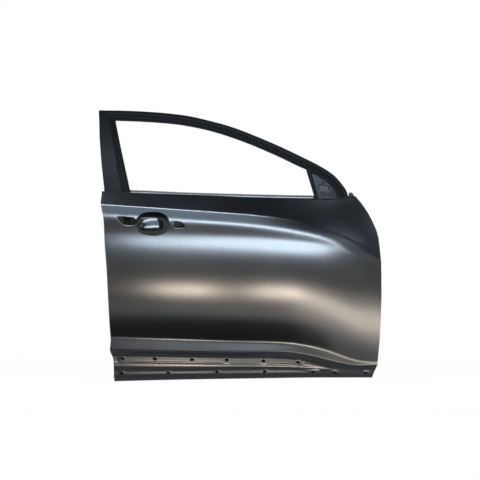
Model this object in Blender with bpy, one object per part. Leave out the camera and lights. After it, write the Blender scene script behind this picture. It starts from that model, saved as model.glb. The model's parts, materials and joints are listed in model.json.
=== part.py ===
"""Front right car door shell in primed pressed steel, upright as on the car.

The outside faces -Y, the front of the car is +X and +Z is up. Outlines are read from a square-on
photograph, in its pixels, and two driving sizes scale them. A depth is measured inboard from the
outermost point of the skin's belly.
"""

import math

import bpy
import bmesh
import numpy as np
from mathutils import Vector
from mathutils.geometry import delaunay_2d_cdt, intersect_line_line_2d

# Driving sizes of the whole door.
DOOR_LENGTH = 1.160
DOOR_HEIGHT = 1.112
SKIN_DROP = 0.098
FRAME_LEAN_DEG = 14.0
GLASS_BARREL_RADIUS = 1.71

# Sheets and clearances.
SKIN_SHEET = 0.0009
INNER_SHEET = 0.0009
FRAME_SHEET = 0.0014
CHANNEL_SHEET = 0.0012
REINFORCEMENT_SHEET = 0.0016
HINGE_SHEET = 0.0020
SEAT_GAP = 0.0004
HEM_GAP = 0.0008
HEM_RETURN = 0.0075
EAR_GAP = 0.0030

# Window frame.
FRAME_STEP = 0.0080
FRAME_DEPTH = 0.0280
HEADER_LIP = 0.0180
SASH_LIP = 0.0140
GROOVE_DEPTH = 0.0060
CHANNEL_RELIEF = 0.0012
POST_DEPTH = 0.0180
SECTION_SPACING = 0.0450

# Inner panel.
PANEL_SLOPE = 0.0050
LEDGE_HEIGHT = 0.0240
WALL_DRAFT_DEG = 5.0
LEDGE_DRAFT_DEG = 8.0
HOLE_STEP = 0.0050
HOLE_STEP_WIDTH = 0.0110
SPEAKER_RADIUS = 0.0800
SPEAKER_SEAT_RADIUS = 0.0980
CONTOUR_SPACING = 0.0340
SLIVER_HEIGHT = 0.000004
TIE_SNAP = 0.0020
STEEPNESS_REACH = 0.0020
SMALL_HOLE_RADIUS = 0.0055

# Handle recess and openings of the skin.
CUP_LENGTH = 0.138
CUP_HEIGHT = 0.098
CUP_DEPTH = 0.0340
HOLE_SEAT_DEPTH = 0.0022
HOLE_SEAT_WIDTH = 0.0060
LOCK_HOLE_LENGTH = 0.068
LOCK_HOLE_HEIGHT = 0.031
PIVOT_HOLE_LENGTH = 0.052
PIVOT_HOLE_HEIGHT = 0.023
CLIP_HOLE_LENGTH = 0.0140
CLIP_HOLE_HEIGHT = 0.0090
CLIP_HOLE_CORNER = 0.0028

# Crash beam and its brackets.
BEAM_RADIUS = 0.0150
BEAM_WALL = 0.0024
BEAM_SLEEVE_LENGTH = 0.0550
BEAM_SLEEVE_WALL = 0.0025
BEAM_PLATE_HEIGHT = 0.0740
BEAM_PLATE_DEPTH = 0.0400
BEAM_PAD_RADIUS = 0.0190
BEAM_HINGE_GAP = 0.0111
BEAM_PAD_GAP = 0.0009

# Hinge and latch hardware.
HINGE_PLATE_LENGTH = 0.0760
HINGE_PLATE_DEPTH = 0.0360
HINGE_PLATE_THICKNESS = 0.0080
HINGE_BOLT_RADIUS = 0.0055
HINGE_BOLT_SPACING = 0.0420
CHECK_SLOT_LENGTH = 0.0300
CHECK_SLOT_HEIGHT = 0.0160
WALL_MARGIN = 0.0050
RIB_HEIGHT = 0.0060
HINGE_REINFORCEMENT_WIDTH = 0.0470
LATCH_PLATE_LENGTH = 0.1500
LATCH_PLATE_DEPTH = 0.0380
LATCH_HOLE_LENGTH = 0.0760
LATCH_HOLE_DEPTH = 0.0220
NUT_RADIUS = 0.0070
NUT_HEIGHT = 0.0060
NUT_BORE_RADIUS = 0.0032

# The photograph's pixels at the door's four sides.
PHOTO_REAR_PX = 98.0
PHOTO_FRONT_PX = 381.0
PHOTO_TOP_PX = 109.6
PHOTO_BOTTOM_PX = 380.9

# Skin lines: their pixel rows and depths, as shares of SKIN_DROP, at each station along the door.
SKIN_STATION_PX = [104, 150, 200, 250, 300, 330, 355, 381]
SKIN_LINES = [
    ("belt", [191.2, 193.2, 194.9, 197.0, 198.2, 198.2, 196.0, 194.0],
     [.650, .680, .715, .775, .857, .918, .980, 1.00]),
    ("shoulder", [205.0, 207.8, 211.1, 214.8, 222.5, 231.7, 242.3, 254.4],
     [.393, .384, .383, .398, .428, .444, .464, .510]),
    ("streak", [216.5, 219.0, 221.8, 225.8, 232.4, 241.0, 250.6, 262.0],
     [.296, .281, .276, .291, .327, .362, .398, .444]),
    ("valley", [227.5, 229.8, 232.0, 235.0, 240.6, 247.6, 256.5, 268.0],
     [.261, .243, .237, .253, .292, .335, .373, .418]),
    ("swell", [244.0, 245.3, 246.0, 247.0, 249.5, 254.5, 263.0, 275.0],
     [.180, .159, .153, .173, .220, .271, .322, .380]),
    ("belly", [289.0, 290.6, 291.3, 291.6, 293.0, 300.0, 313.0, 325.0],
     [.033, .008, .000, .012, .051, .102, .158, .235]),
    ("tuck", [317.0, 319.5, 322.0, 323.5, 326.0, 333.0, 344.0, 350.0],
     [.082, .061, .055, .065, .096, .135, .184, .255]),
    ("sill crease", [336.9, 338.2, 339.7, 341.2, 344.1, 351.5, 360.0, 362.8],
     [.165, .149, .145, .153, .167, .190, .229, .278]),
    ("lip", [349.4, 349.9, 350.9, 351.6, 353.5, 360.3, 364.8, 365.0],
     [.066, .050, .047, .057, .088, .129, .192, .259]),
]
SILL_STATION_PX = [112, 170, 245, 297, 320, 335, 350, 376]
SILL_LINES = [
    ("lip foot", [354.3, 355.0, 356.2, 358.2, 362.8, 366.4, 368.3, 368.4],
     [.286, .286, .286, .300, .316, .326, .337, .357]),
    ("upper land", [361.0, 362.0, 363.0, 364.6, 366.4, 367.8, 369.2, 369.4],
     [.306, .306, .306, .313, .324, .332, .343, .360]),
    ("ledge", [362.4, 363.4, 364.4, 366.0, 367.4, 368.7, 369.9, 370.2],
     [.275, .275, .275, .296, .320, .334, .345, .362]),
    ("ledge foot", [368.2, 368.2, 367.4, 367.6, 368.6, 369.6, 370.8, 371.1],
     [.260, .260, .260, .286, .318, .335, .348, .365]),
    ("lower land top", [369.9, 369.7, 368.9, 369.0, 369.8, 370.5, 371.6, 371.9],
     [.306, .306, .306, .313, .326, .337, .350, .367]),
    ("lower land", [375.3, 374.6, 373.8, 373.3, 373.3, 373.5, 373.9, 374.0],
     [.306, .306, .306, .316, .333, .343, .357, .370]),
    ("hem line", [376.8, 376.0, 375.2, 374.6, 374.5, 374.6, 374.9, 375.0],
     [.337, .337, .337, .345, .353, .359, .366, .378]),
    ("bottom edge", [380.9, 379.4, 378.1, 377.3, 377.1, 377.1, 377.1, 377.1],
     [.347, .347, .347, .354, .362, .368, .374, .384]),
]
# Mesh rows between one skin line and the next, and the columns' places from rear to front.
SKIN_ROW_COUNTS = [6, 2, 1, 2, 4, 3, 3, 1]
BELT_HEM_COLUMNS = (3, -6)
SKIN_COLUMN_SHARES = [0, .02, .055, .10, .145, .19, .235, .28, .33, .38, .43, .48, .53, .58, .63,
                      .675, .72, .76, .80, .84, .875, .91, .94, .965, .985, 1]

REAR_EDGE_PX = [(102.2, 190.8), (101.7, 196.5), (101.0, 202.5), (101.9, 208.5), (103.2, 214.5),
                (104.1, 220.5), (104.7, 232.5), (105.2, 244.5), (107.2, 268.5), (108.7, 298.5),
                (110.0, 322.5), (111.3, 340.5), (110.4, 348.5), (110.9, 352.0), (113.6, 357.5),
                (114.2, 364.5), (114.3, 376.5), (114.9, 380.9)]
FRONT_EDGE_PX = [(354.6, 195.2), (360.8, 202.5), (365.1, 208.5), (368.8, 214.5), (371.9, 220.5),
                 (374.7, 226.5), (376.9, 232.5), (378.4, 238.5), (379.7, 250.5), (380.8, 262.5),
                 (381.0, 274.0), (381.0, 298.5), (380.3, 316.5), (379.1, 340.5), (378.0, 352.5),
                 (376.9, 364.5), (373.3, 372.5), (371.8, 377.1)]

UPPER_CLIP_HOLES_PX = [(122.9, 357.8), (155.4, 358.2), (192.4, 358.9), (227.0, 359.5),
                       (263.6, 360.3), (298.1, 361.5)]
LOWER_CLIP_HOLES_PX = [(122.5, 372.8), (168.7, 372.1), (217.1, 371.3), (264.8, 370.9),
                       (312.4, 371.2), (334.3, 371.9), (365.9, 372.4)]
CUP_CENTRE_PX = (152.6, 223.8)
CUP_ROUNDNESS = 2.3
CUP_POINTS = 28
CUP_PROFILE_SHARES = [(0, 1), (.34, .96), (.60, .80), (.80, .50), (.93, .14), (1.0, 0)]
CUP_RING_SHARES = [1.0, .93, .80, .60, .34]
CUP_FENCE_SHARE = 1.06
CUP_CLEAR_SHARE = 1.10
LOCK_HOLE_PX = (126.6, 221.1)
PIVOT_HOLE_PX = (178.0, 224.4)

# Window frame: outer and inner edge at each station.
HEADER_PX = [((98.1, 109.7), (115.2, 120.4)), ((116, 109.9), (117.4, 120.5)),
             ((136, 110.5), (135.5, 121.1)), ((156, 111.7), (155, 122.2)),
             ((176.5, 113.7), (175, 124.0)), ((192.5, 116.2), (190.5, 126.4)),
             ((208.5, 120.0), (206, 129.7)), ((224.5, 124.2), (221.5, 134.0)),
             ((240.5, 129.6), (236.8, 139.2)), ((256.5, 136.0), (252.5, 145.2)),
             ((272.5, 142.8), (268.3, 152.0)), ((288.5, 150.1), (284.1, 159.2)),
             ((304.5, 157.9), (300.2, 167.0)), ((315.2, 163.2), (311.0, 171.4)),
             ((322.4, 167.2), (317.6, 174.4)), ((329.5, 171.7), (323.6, 178.2)),
             ((336.5, 177.5), (329.6, 183.2)), ((342.3, 184.5), (334.4, 189.4)),
             ((347.4, 193.0), (338.0, 196.0)), ((348.2, 198.6), (339.2, 200.0))]
SASH_PX = [((98.1, 109.7), (115.2, 120.4)), ((98.9, 128), (116.6, 128)), ((99.4, 140), (119.1, 140)),
           ((100.1, 148.5), (120.9, 148.5)), ((101.1, 160.5), (123.6, 160.5)),
           ((102.4, 172.5), (126.2, 172.5)), ((103.8, 184.5), (128.9, 184.5)),
           ((104.3, 189.2), (129.8, 189.2)), ((104.4, 192.2), (130.4, 192.2))]
POST_PX = [((310.9, 171.6), (306.2, 169.9)), ((312.3, 178), (308.0, 178)), ((314.6, 186), (310.6, 186)),
           ((317.6, 195), (313.7, 195)), ((319.2, 200), (315.2, 200)), ((325.4, 220), (321.4, 220)),
           ((337.0, 258), (333.0, 258))]
# Faces of the frame's sections: shares of the width, and of the groove's depth.
HEADER_FACE_SHARES = [(0, .3), (.03, 0), (.36, 0), (.40, 1), (.49, 1), (.52, .2), (.62, .2), (.66, 1),
                      (.76, 1), (.80, .2), (.93, .2), (1, .5)]
SASH_FACE_SHARES = [(0, .3), (.03, 0), (.68, 0), (.71, 1), (.77, 1), (.80, .2), (.86, .2), (.89, 1),
                    (.94, 1), (.96, .2), (1, .5)]
FRAME_LIP_SHARE = .02
HEADER_BACK_SHARE = .55
SASH_BACK_SHARE = .52
CHANNEL_BEND_SHARE = .12
GUSSET_HEADER_STATIONS = (13, 20)
GUSSET_POST_STATIONS = (0, 5)
GUSSET_PAD_PX = [(318.9, 186.0), (319.6, 184.4), (327.4, 186.8), (327.6, 189.3), (320.4, 189.6)]
GUSSET_PAD_CORNER = 0.006
GUSSET_PAD_RISE = 0.0030
GUSSET_STEP = 0.0070
MIRROR_HOLE_RADIUS = 0.0050
MIRROR_HOLES_PX = [(322.7, 183.2), (322.2, 193.4), (331.6, 191.6)]

# Inner panel: the bends of its walls, from the rear top round the bottom to the front top.
PANEL_TOP_PX = [(116.6, 190.6), (130, 189.9), (176, 192.1), (240, 194.0), (313, 195.6), (337, 196.6),
                (347.6, 197.4)]
PANEL_DEPTH_SHARES = [.650, .960]
WALL_TOP_PX = [(107.6, 193.8), (110.6, 262), (114.9, 336), (118.6, 362), (119.4, 375.9),
                (210, 374.3), (300, 373.2), (366.0, 373.2), (373.4, 352), (373.4, 243),
                (359.2, 209), (351.9, 192.6)]
LEDGE_EDGE_PX = [(112.6, 193.8), (116.2, 262), (120.4, 336), (125.0, 356), (126.0, 368.0),
                 (210, 366.6), (300, 365.4), (359.0, 364.6), (368.0, 346), (368.0, 248),
                 (357.4, 212), (350.3, 192.2)]
WALL_CORNER_RADIUS = 0.030
LEDGE_CORNER_RADIUS = 0.024
FLANGE_FRONT_TOP_PX = 198.4
ACCESS_HOLES_PX = [
    [(141, 262), (150, 233), (196, 226), (214, 240), (214, 300), (203, 322), (152, 322), (141, 306)],
    [(228, 240), (246, 228), (316, 232), (329, 250), (328, 290), (310, 304), (240, 304), (228, 292)]]
ACCESS_CORNER_RADIUS = 0.036
SPEAKER_PX = (322, 336)
SMALL_HOLES_PX = [(131, 240), (133, 285), (136, 325), (150, 345), (190, 347), (230, 346), (262, 346),
                  (282, 320), (221, 262), (221, 290), (352, 262), (354, 300), (205, 212), (262, 214),
                  (316, 216), (150, 210)]

# Pieces behind the skin.
BEAM_PX = [(124.0, 316.0), (363.0, 279.0)]
BEAM_END_DEPTH_SHARES = [.27, .36]
BEAM_PAD_SHARES = [.18, .39, .60, .80]
UPPER_HINGE_PX = 258.0
LOWER_HINGE_PX = 340.0
CHECK_ARM_SHARE = 0.6729
LATCH_PX = 243.0
BELT_OUTER_RANGE_PX = (113.0, 311.0)
BELT_INNER_RANGE_PX = (137.0, 334.0)
BELT_OUTER_DROP = 0.052
BELT_INNER_DROP = 0.048
HANDLE_PLATE_PX = [(112.5, 212.5), (190.5, 215.5), (190.5, 233), (172, 240), (136, 240), (112.5, 233)]
HANDLE_ROW_SPACING = 0.022
HANDLE_PLATE_GAP = 0.0007
PULL_BRACKET_PX = (221.0, 320.0)
PULL_BRACKET_LENGTH = 0.090
PULL_BRACKET_WIDTH = 0.030
PULL_BRACKET_RISE = 0.022
REAR_RUN_PX = [((124.0, 193.2), (130.2, 193.2)), ((124.5, 215), (130.7, 215)),
               ((126.0, 240), (132.2, 240)), ((127.6, 266), (133.8, 266))]
RUN_BRACKET_WIDTH = 0.024
RUN_BRACKET_SLACK = 0.0003
REAR_BRACKET_PX = (129.4, 260)
FRONT_BRACKET_PX = (335.4, 252)


def across(px):
    """Distance along the door of a pixel column, from the door's middle."""
    middle = (PHOTO_REAR_PX + PHOTO_FRONT_PX) / 2
    return (px - middle) * DOOR_LENGTH / (PHOTO_FRONT_PX - PHOTO_REAR_PX)


def up(py):
    """Height of a pixel row above the door's bottom."""
    return (PHOTO_BOTTOM_PX - py) * DOOR_HEIGHT / (PHOTO_BOTTOM_PX - PHOTO_TOP_PX)


def flat(points):
    """Pixel points as (x, z) vectors in metres."""
    return [Vector((across(px), up(py))) for px, py in points]


def spline(knots, values):
    """Natural cubic spline through the values, with straight ends beyond the knots."""
    knots = np.array(knots, float)
    values = np.array(values, float)
    step = np.diff(knots)
    count = len(knots)
    matrix = np.eye(count)
    target = np.zeros(count)
    for i in range(1, count - 1):
        matrix[i, i - 1:i + 2] = step[i - 1], 2 * (step[i - 1] + step[i]), step[i]
        target[i] = 6 * ((values[i + 1] - values[i]) / step[i] - (values[i] - values[i - 1]) / step[i - 1])
    bend = np.linalg.solve(matrix, target)

    def value(x):
        i = int(np.clip(np.searchsorted(knots, x) - 1, 0, count - 2))
        x = min(max(x, knots[0]), knots[-1])
        a = (knots[i + 1] - x) / step[i]
        b = 1 - a
        curve = ((a ** 3 - a) * bend[i] + (b ** 3 - b) * bend[i + 1]) * step[i] ** 2 / 6
        return a * values[i] + b * values[i + 1] + curve

    return value


def line_functions(lines, stations_px):
    """Height and depth of each line as functions of x."""
    knots = [across(px) for px in stations_px]
    result = []
    for _, rows_px, depth_shares in lines:
        height = spline(knots, [up(py) for py in rows_px])
        depth = spline(knots, [share * SKIN_DROP for share in depth_shares])
        result.append((height, depth))
    return result


SKIN_CURVES = line_functions(SKIN_LINES, SKIN_STATION_PX)
SILL_CURVES = line_functions(SILL_LINES, SILL_STATION_PX)
ALL_CURVES = SKIN_CURVES + SILL_CURVES
SHOULDER, CREASE, LIP = 1, 7, 8


def edge_function(points_px):
    """The x of an upright edge as a function of height."""
    points = flat(points_px)
    heights = [p.y for p in reversed(points)]
    places = [p.x for p in reversed(points)]
    return lambda z: float(np.interp(z, heights, places))


rear_edge = edge_function(REAR_EDGE_PX)
front_edge = edge_function(FRONT_EDGE_PX)


def pressed_depth(x, z):
    """Depth of the skin's outer face without the handle recess."""
    heights = [height(x) for height, _ in ALL_CURVES]
    depths = [depth(x) for _, depth in ALL_CURVES]
    if z >= heights[SHOULDER] or z <= heights[CREASE]:
        return float(np.interp(z, heights[::-1], depths[::-1]))
    body = slice(SHOULDER, CREASE + 1)
    return float(spline(heights[body][::-1], depths[body][::-1])(z))


def steepness(x, z):
    """How much longer the skin's gauge is along the depth than square to its face."""
    here = pressed_depth(x, z)
    slopes = [abs(pressed_depth(x, z + side * STEEPNESS_REACH) - here) / STEEPNESS_REACH for side in (-1, 1)]
    return math.hypot(1, max(slopes))


def cup_radius(x, z):
    """Distance from the handle cup's centre as a share of its rounded outline."""
    cx, cz = across(CUP_CENTRE_PX[0]), up(CUP_CENTRE_PX[1])
    along, tall = abs((x - cx) * 2 / CUP_LENGTH), abs((z - cz) * 2 / CUP_HEIGHT)
    return (along ** CUP_ROUNDNESS + tall ** CUP_ROUNDNESS) ** (1 / CUP_ROUNDNESS)


def skin_depth(x, z):
    """Depth of the skin's outer face, with the handle cup."""
    radius = cup_radius(x, z)
    radii = [r for r, _ in CUP_PROFILE_SHARES]
    shares = [s for _, s in CUP_PROFILE_SHARES]
    return pressed_depth(x, z) + CUP_DEPTH * float(np.interp(radius, radii, shares))


def belt_height(x):
    return SKIN_CURVES[0][0](x)


def frame_depth(x, z):
    """Depth of the window frame's outer face, which leans in and curves like the glass."""
    rise = z - belt_height(x)
    lean = math.tan(math.radians(FRAME_LEAN_DEG))
    return SKIN_CURVES[0][1](x) + FRAME_STEP + lean * rise + rise ** 2 / (2 * GLASS_BARREL_RADIUS)


def panel_depth(x, z):
    """Depth of the inner panel's flat main face."""
    share = x / DOOR_LENGTH + 0.5
    rear, front = PANEL_DEPTH_SHARES
    fall = PANEL_SLOPE * (1 - z / up(PANEL_TOP_PX[0][1]))
    return (rear + (front - rear) * share) * SKIN_DROP + FRAME_STEP + FRAME_DEPTH + SEAT_GAP + fall


def ledge_depth(x, z):
    return panel_depth(x, z) - LEDGE_HEIGHT


def material(name, colour, roughness, metallic=0.0):
    mat = bpy.data.materials.new(name)
    mat.use_nodes = True
    shader = mat.node_tree.nodes["Principled BSDF"]
    shader.inputs["Base Color"].default_value = (*colour, 1)
    shader.inputs["Roughness"].default_value = roughness
    shader.inputs["Metallic"].default_value = metallic
    return mat


def add_object(name, bm, look):
    """Links a bmesh as a named object, smooth but for its folds."""
    mesh = bpy.data.meshes.new(name)
    bm.to_mesh(mesh)
    bm.free()
    mesh.shade_smooth()
    mesh.set_sharp_from_angle(angle=math.radians(28))
    obj = bpy.data.objects.new(name, mesh)
    obj.data.materials.append(look)
    bpy.context.scene.collection.objects.link(obj)
    return obj


def thicken(obj, thickness):
    """Gives a sheet its gauge, away from the side that its faces point to."""
    solid = obj.modifiers.new("Sheet gauge", "SOLIDIFY")
    solid.thickness = thickness
    solid.offset = -1
    solid.use_even_offset = True
    return obj


def add_grid(bm, rows):
    """Adds quads between rows of points and returns their vertices."""
    verts = [[bm.verts.new(p) for p in row] for row in rows]
    for low, high in zip(verts, verts[1:]):
        for i in range(len(low) - 1):
            bm.faces.new((low[i], low[i + 1], high[i + 1], high[i]))
    return verts


def closed_loft(name, rings, look, ring_ends=False):
    """Solid through rings of points: its ends are capped, or the last ring meets the first."""
    bm = bmesh.new()
    verts = [[bm.verts.new(p) for p in ring] for ring in rings]
    pairs = list(zip(verts, verts[1:]))
    if ring_ends:
        pairs.append((verts[-1], verts[0]))
    for low, high in pairs:
        for i in range(len(low)):
            j = (i + 1) % len(low)
            bm.faces.new((low[i], low[j], high[j], high[i]))
    if not ring_ends:
        bm.faces.new(verts[0][::-1])
        bm.faces.new(verts[-1])
    bmesh.ops.recalc_face_normals(bm, faces=bm.faces)
    return add_object(name, bm, look)


def inside(point, outline):
    """Whether a 2-D point lies within a closed outline."""
    hit = False
    previous = outline[-1]
    for corner in outline:
        if (corner.y > point.y) != (previous.y > point.y):
            cut = (previous.x - corner.x) * (point.y - corner.y) / (previous.y - corner.y) + corner.x
            hit ^= point.x < cut
        previous = corner
    return hit


def rounded(corners, radius, closed=True, arc_steps=3):
    """Outline with its corners turned into arcs."""
    points = []
    count = len(corners)
    for i, corner in enumerate(corners):
        if not closed and i in (0, count - 1):
            points.append(corner.copy())
            continue
        before = corners[i - 1] - corner
        after = corners[(i + 1) % count] - corner
        if before.angle(after) > math.radians(172):
            points.append(corner.copy())
            continue
        reach = min(radius * math.tan((math.pi - before.angle(after)) / 2), before.length * .45,
                    after.length * .45)
        start = corner + before.normalized() * reach
        end = corner + after.normalized() * reach
        for k in range(arc_steps + 1):
            t = k / arc_steps
            points.append(start * (1 - t) ** 2 + corner * 2 * t * (1 - t) + end * t ** 2)
    return points


def spaced(points, spacing, closed=False):
    """Adds points along the long runs of an outline."""
    result = []
    pairs = list(zip(points, points[1:] + points[:1] if closed else points[1:]))
    for a, b in pairs:
        count = max(1, math.ceil((b - a).length / spacing))
        result += [a.lerp(b, k / count) for k in range(count)]
    return result if closed else result + [points[-1]]


def shifted(points, distance, closed=False):
    """Outline moved to its left by a distance, or by a list of distances."""
    result = []
    count = len(points)
    for i, p in enumerate(points):
        before = points[i - 1] if closed or i else p * 2 - points[1]
        after = points[(i + 1) % count] if closed or i < count - 1 else p * 2 - points[-2]
        one = (p - before).normalized()
        two = (after - p).normalized()
        normal = Vector((-(one + two).y, (one + two).x)).normalized()
        stretch = normal.dot(Vector((-one.y, one.x)))
        amount = distance[i] if isinstance(distance, list) else distance
        result.append(p + normal * amount / max(stretch, .5))
    return result


def grown(loop, distance):
    """Closed outline moved outwards, whichever way round it runs."""
    turning = sum(a.x * b.y - a.y * b.x for a, b in zip(loop, loop[1:] + loop[:1]))
    return shifted(loop, -distance if turning > 0 else distance, closed=True)


def box_outline(cx, cz, length, height, corner):
    """Rounded rectangle about a centre."""
    half, tall = length / 2, height / 2
    corners = [Vector((cx - half, cz - tall)), Vector((cx + half, cz - tall)),
               Vector((cx + half, cz + tall)), Vector((cx - half, cz + tall))]
    return rounded(corners, corner, arc_steps=2)


def circle(cx, cz, radius, count):
    angles = [2 * math.pi * k / count for k in range(count)]
    return [Vector((cx + radius * math.cos(a), cz + radius * math.sin(a))) for a in angles]


def stamped_mesh(outline, contours, holes, depth):
    """Pressed sheet over the (x, z) plane, bent along its contours, with holes left open.

    A contour is (tag, points, closed), and depth(x, z, tag) gives the depth of its points. The
    outline is a list of (tag, point).
    """
    points = [p for _, p in outline]
    tags = [tag for tag, _ in outline]
    edges = [(k, (k + 1) % len(points)) for k in range(len(points))]
    for tag, line, closed in contours + holes:
        first = len(points)
        points.extend(line)
        tags.extend([tag] * len(line))
        edges.extend((first + k, first + k + 1) for k in range(len(line) - 1))
        if closed:
            edges.append((len(points) - 1, first))
    verts, _, faces, sources, _, _ = delaunay_2d_cdt(points, edges, [], 0, 1e-7, True)
    border = [p for _, p in outline]
    bm = bmesh.new()
    made = []
    for vert, source in zip(verts, sources):
        tag = tags[source[0]] if source else ""
        made.append(bm.verts.new(Vector((vert.x, depth(vert.x, vert.y, tag), vert.y))))
    for face in faces:
        centre = sum((verts[i] for i in face), Vector((0, 0))) / len(face)
        if is_sliver([verts[i] for i in face]):
            continue
        if inside(centre, border) and not any(inside(centre, hole) for _, hole, _ in holes):
            bm.faces.new([made[i] for i in face])
    bmesh.ops.delete(bm, geom=[v for v in bm.verts if not v.link_faces], context="VERTS")
    bmesh.ops.recalc_face_normals(bm, faces=bm.faces)
    return bm


def is_sliver(corners):
    """Whether a flat triangle is no more than a straight run of an outline."""
    a, b, c = corners
    longest = max((b - a).length, (c - b).length, (a - c).length)
    area = abs((b - a).x * (c - a).y - (b - a).y * (c - a).x)
    return area < longest * SLIVER_HEIGHT


def turn(bm, inboard):
    """Turns a sheet so that most of its area faces into the car, or out of it."""
    bm.normal_update()
    facing = sum(face.normal.y * face.calc_area() for face in bm.faces)
    if (facing > 0) != inboard:
        bmesh.ops.reverse_faces(bm, faces=bm.faces)


def skin_point(share, upper, lower, fraction):
    """Skin place at a share of the length, between two lines."""
    x = across(PHOTO_REAR_PX) + share * DOOR_LENGTH
    for _ in range(6):
        z = upper[0](x) * (1 - fraction) + lower[0](x) * fraction
        x = rear_edge(z) * (1 - share) + front_edge(z) * share
    return Vector((x, z))


def skin_rows():
    """Rows of (x, z) points that follow the skin's lines from belt to bottom."""
    rows = []
    for i, (upper, lower) in enumerate(zip(ALL_CURVES, ALL_CURVES[1:])):
        count = SKIN_ROW_COUNTS[i] if i < len(SKIN_ROW_COUNTS) else 1
        for k in range(count):
            rows.append([skin_point(u, upper, lower, k / count) for u in SKIN_COLUMN_SHARES])
    bottom = ALL_CURVES[-1]
    rows.append([skin_point(u, bottom, bottom, 0) for u in SKIN_COLUMN_SHARES])
    return rows


def skin_sides(rows):
    """The skin's edge from the rear top round the bottom to the front top."""
    return [row[0] for row in rows] + rows[-1][1:-1] + [row[-1] for row in rows[::-1]]


def cup_ring(share, count):
    """Rounded ring about the handle cup's centre, at a share of its size."""
    cx, cz = across(CUP_CENTRE_PX[0]), up(CUP_CENTRE_PX[1])
    ring = []
    for k in range(count):
        c, s = math.cos(2 * math.pi * k / count), math.sin(2 * math.pi * k / count)
        reach = share / (abs(c) ** CUP_ROUNDNESS + abs(s) ** CUP_ROUNDNESS) ** (1 / CUP_ROUNDNESS)
        ring.append(Vector((cx + CUP_LENGTH / 2 * reach * c, cz + CUP_HEIGHT / 2 * reach * s)))
    return ring


def clip_holes():
    """Outlines of the sill band's clip holes."""
    return [box_outline(across(px), up(py), CLIP_HOLE_LENGTH, CLIP_HOLE_HEIGHT, CLIP_HOLE_CORNER)
            for px, py in UPPER_CLIP_HOLES_PX + LOWER_CLIP_HOLES_PX]


def handle_holes():
    """Outlines of the openings behind and ahead of the handle cup."""
    lock = (across(LOCK_HOLE_PX[0]), up(LOCK_HOLE_PX[1]), LOCK_HOLE_LENGTH, LOCK_HOLE_HEIGHT)
    pivot = (across(PIVOT_HOLE_PX[0]), up(PIVOT_HOLE_PX[1]), PIVOT_HOLE_LENGTH, PIVOT_HOLE_HEIGHT)
    return [box_outline(*lock, lock[3] / 2), box_outline(*pivot, pivot[3] / 2)]


def hem_height(x, z):
    """Height of the folded hem: skin, gap, inner flange, gap, skin."""
    return (2 * SKIN_SHEET + INNER_SHEET + 2 * HEM_GAP) * steepness(x, z)


def add_hem(bm, path, side):
    """Folds the sheet's edge along a path of (x, z) points round to its inboard side."""
    lookup = {(round(v.co.x, 5), round(v.co.z, 5)): v for v in bm.verts}
    edge = [lookup[(round(p.x, 5), round(p.y, 5))] for p in path]
    walls = [bm.verts.new(v.co + Vector((0, hem_height(v.co.x, v.co.z), 0))) for v in edge]
    folds = []
    for q in shifted(path, side * HEM_RETURN):
        folds.append(bm.verts.new(Vector((q.x, pressed_depth(q.x, q.y) + hem_height(q.x, q.y), q.y))))
    for first, second in ((edge, walls), (walls, folds)):
        for k in range(len(path) - 1):
            bm.faces.new((first[k], first[k + 1], second[k + 1], second[k]))


def runs_clear_of(row, blocked):
    """Pieces of a row of points that stay outside the blocked places."""
    runs = [[]]
    for p in row:
        if blocked(p):
            runs.append([])
        else:
            runs[-1].append(p)
    return [run for run in runs if len(run) > 1]


def outer_panel(look):
    """Skin with cup, openings, recessed sill band and folded hem."""
    rows = skin_rows()
    outline = [("skin", p) for p in skin_sides(rows) + rows[0][-2:0:-1]]
    clips, handle = clip_holes(), handle_holes()
    seats = [grown(hole, HOLE_SEAT_WIDTH) for hole in handle]
    fences = [grown(hole, 1.3 * HOLE_SEAT_WIDTH) for hole in handle]
    fences += [grown(hole, CLIP_HOLE_CORNER / 3) for hole in clips]

    def blocked(p):
        return cup_radius(p.x, p.y) < CUP_FENCE_SHARE or any(inside(p, fence) for fence in fences)

    def depth(x, z, tag):
        return skin_depth(x, z) + (HOLE_SEAT_DEPTH if tag == "rim" else 0)

    contours = [("skin", run, False) for row in rows[1:-1] for run in runs_clear_of(row[1:-1], blocked)]
    contours += [("cup", cup_ring(share, CUP_POINTS), True) for share in CUP_RING_SHARES]
    contours += [("seat", seat, True) for seat in seats]
    holes = [("clip", hole, True) for hole in clips] + [("rim", hole, True) for hole in handle]
    bm = stamped_mesh(outline, contours, holes, depth)
    sides = skin_sides(rows)
    while sides[-1].y > up(FLANGE_FRONT_TOP_PX):
        sides.pop()
    add_hem(bm, sides, 1)
    add_hem(bm, rows[0][BELT_HEM_COLUMNS[0]:BELT_HEM_COLUMNS[1]], -1)
    bmesh.ops.recalc_face_normals(bm, faces=bm.faces)
    turn(bm, inboard=False)
    return thicken(add_object("outer_panel", bm, look), SKIN_SHEET)


def flange_depth(x, z):
    """Depth of the inner panel's flange, which the skin's hem clasps."""
    return pressed_depth(x, z) + (SKIN_SHEET + HEM_GAP) * steepness(x, z)


def tied_foot(foot, rows, sides):
    """Foot with a point wherever a row of the skin meets it, and the bends from there to the edge."""
    found = []
    ties = []
    for k, row in enumerate(rows[:-1]):
        for edge, line in ((sides[k], row), (sides[-1 - k], row[::-1])):
            run = [edge] + line[1:4]
            hit = first_crossing(run, foot)
            if hit:
                step, spot, place = hit
                if all((place - p).length > TIE_SNAP for p in foot[spot:spot + 2]):
                    found.append((spot, (place - foot[spot]).length, place))
                else:
                    place = min(foot[spot:spot + 2], key=lambda p: (place - p).length)
                ties.append(run[:step + 1] + [place])
    result = []
    for spot, corner in enumerate(foot):
        result.append(corner)
        result += [place for at, _, place in sorted(found, key=lambda f: f[:2]) if at == spot]
    return result, ties


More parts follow.
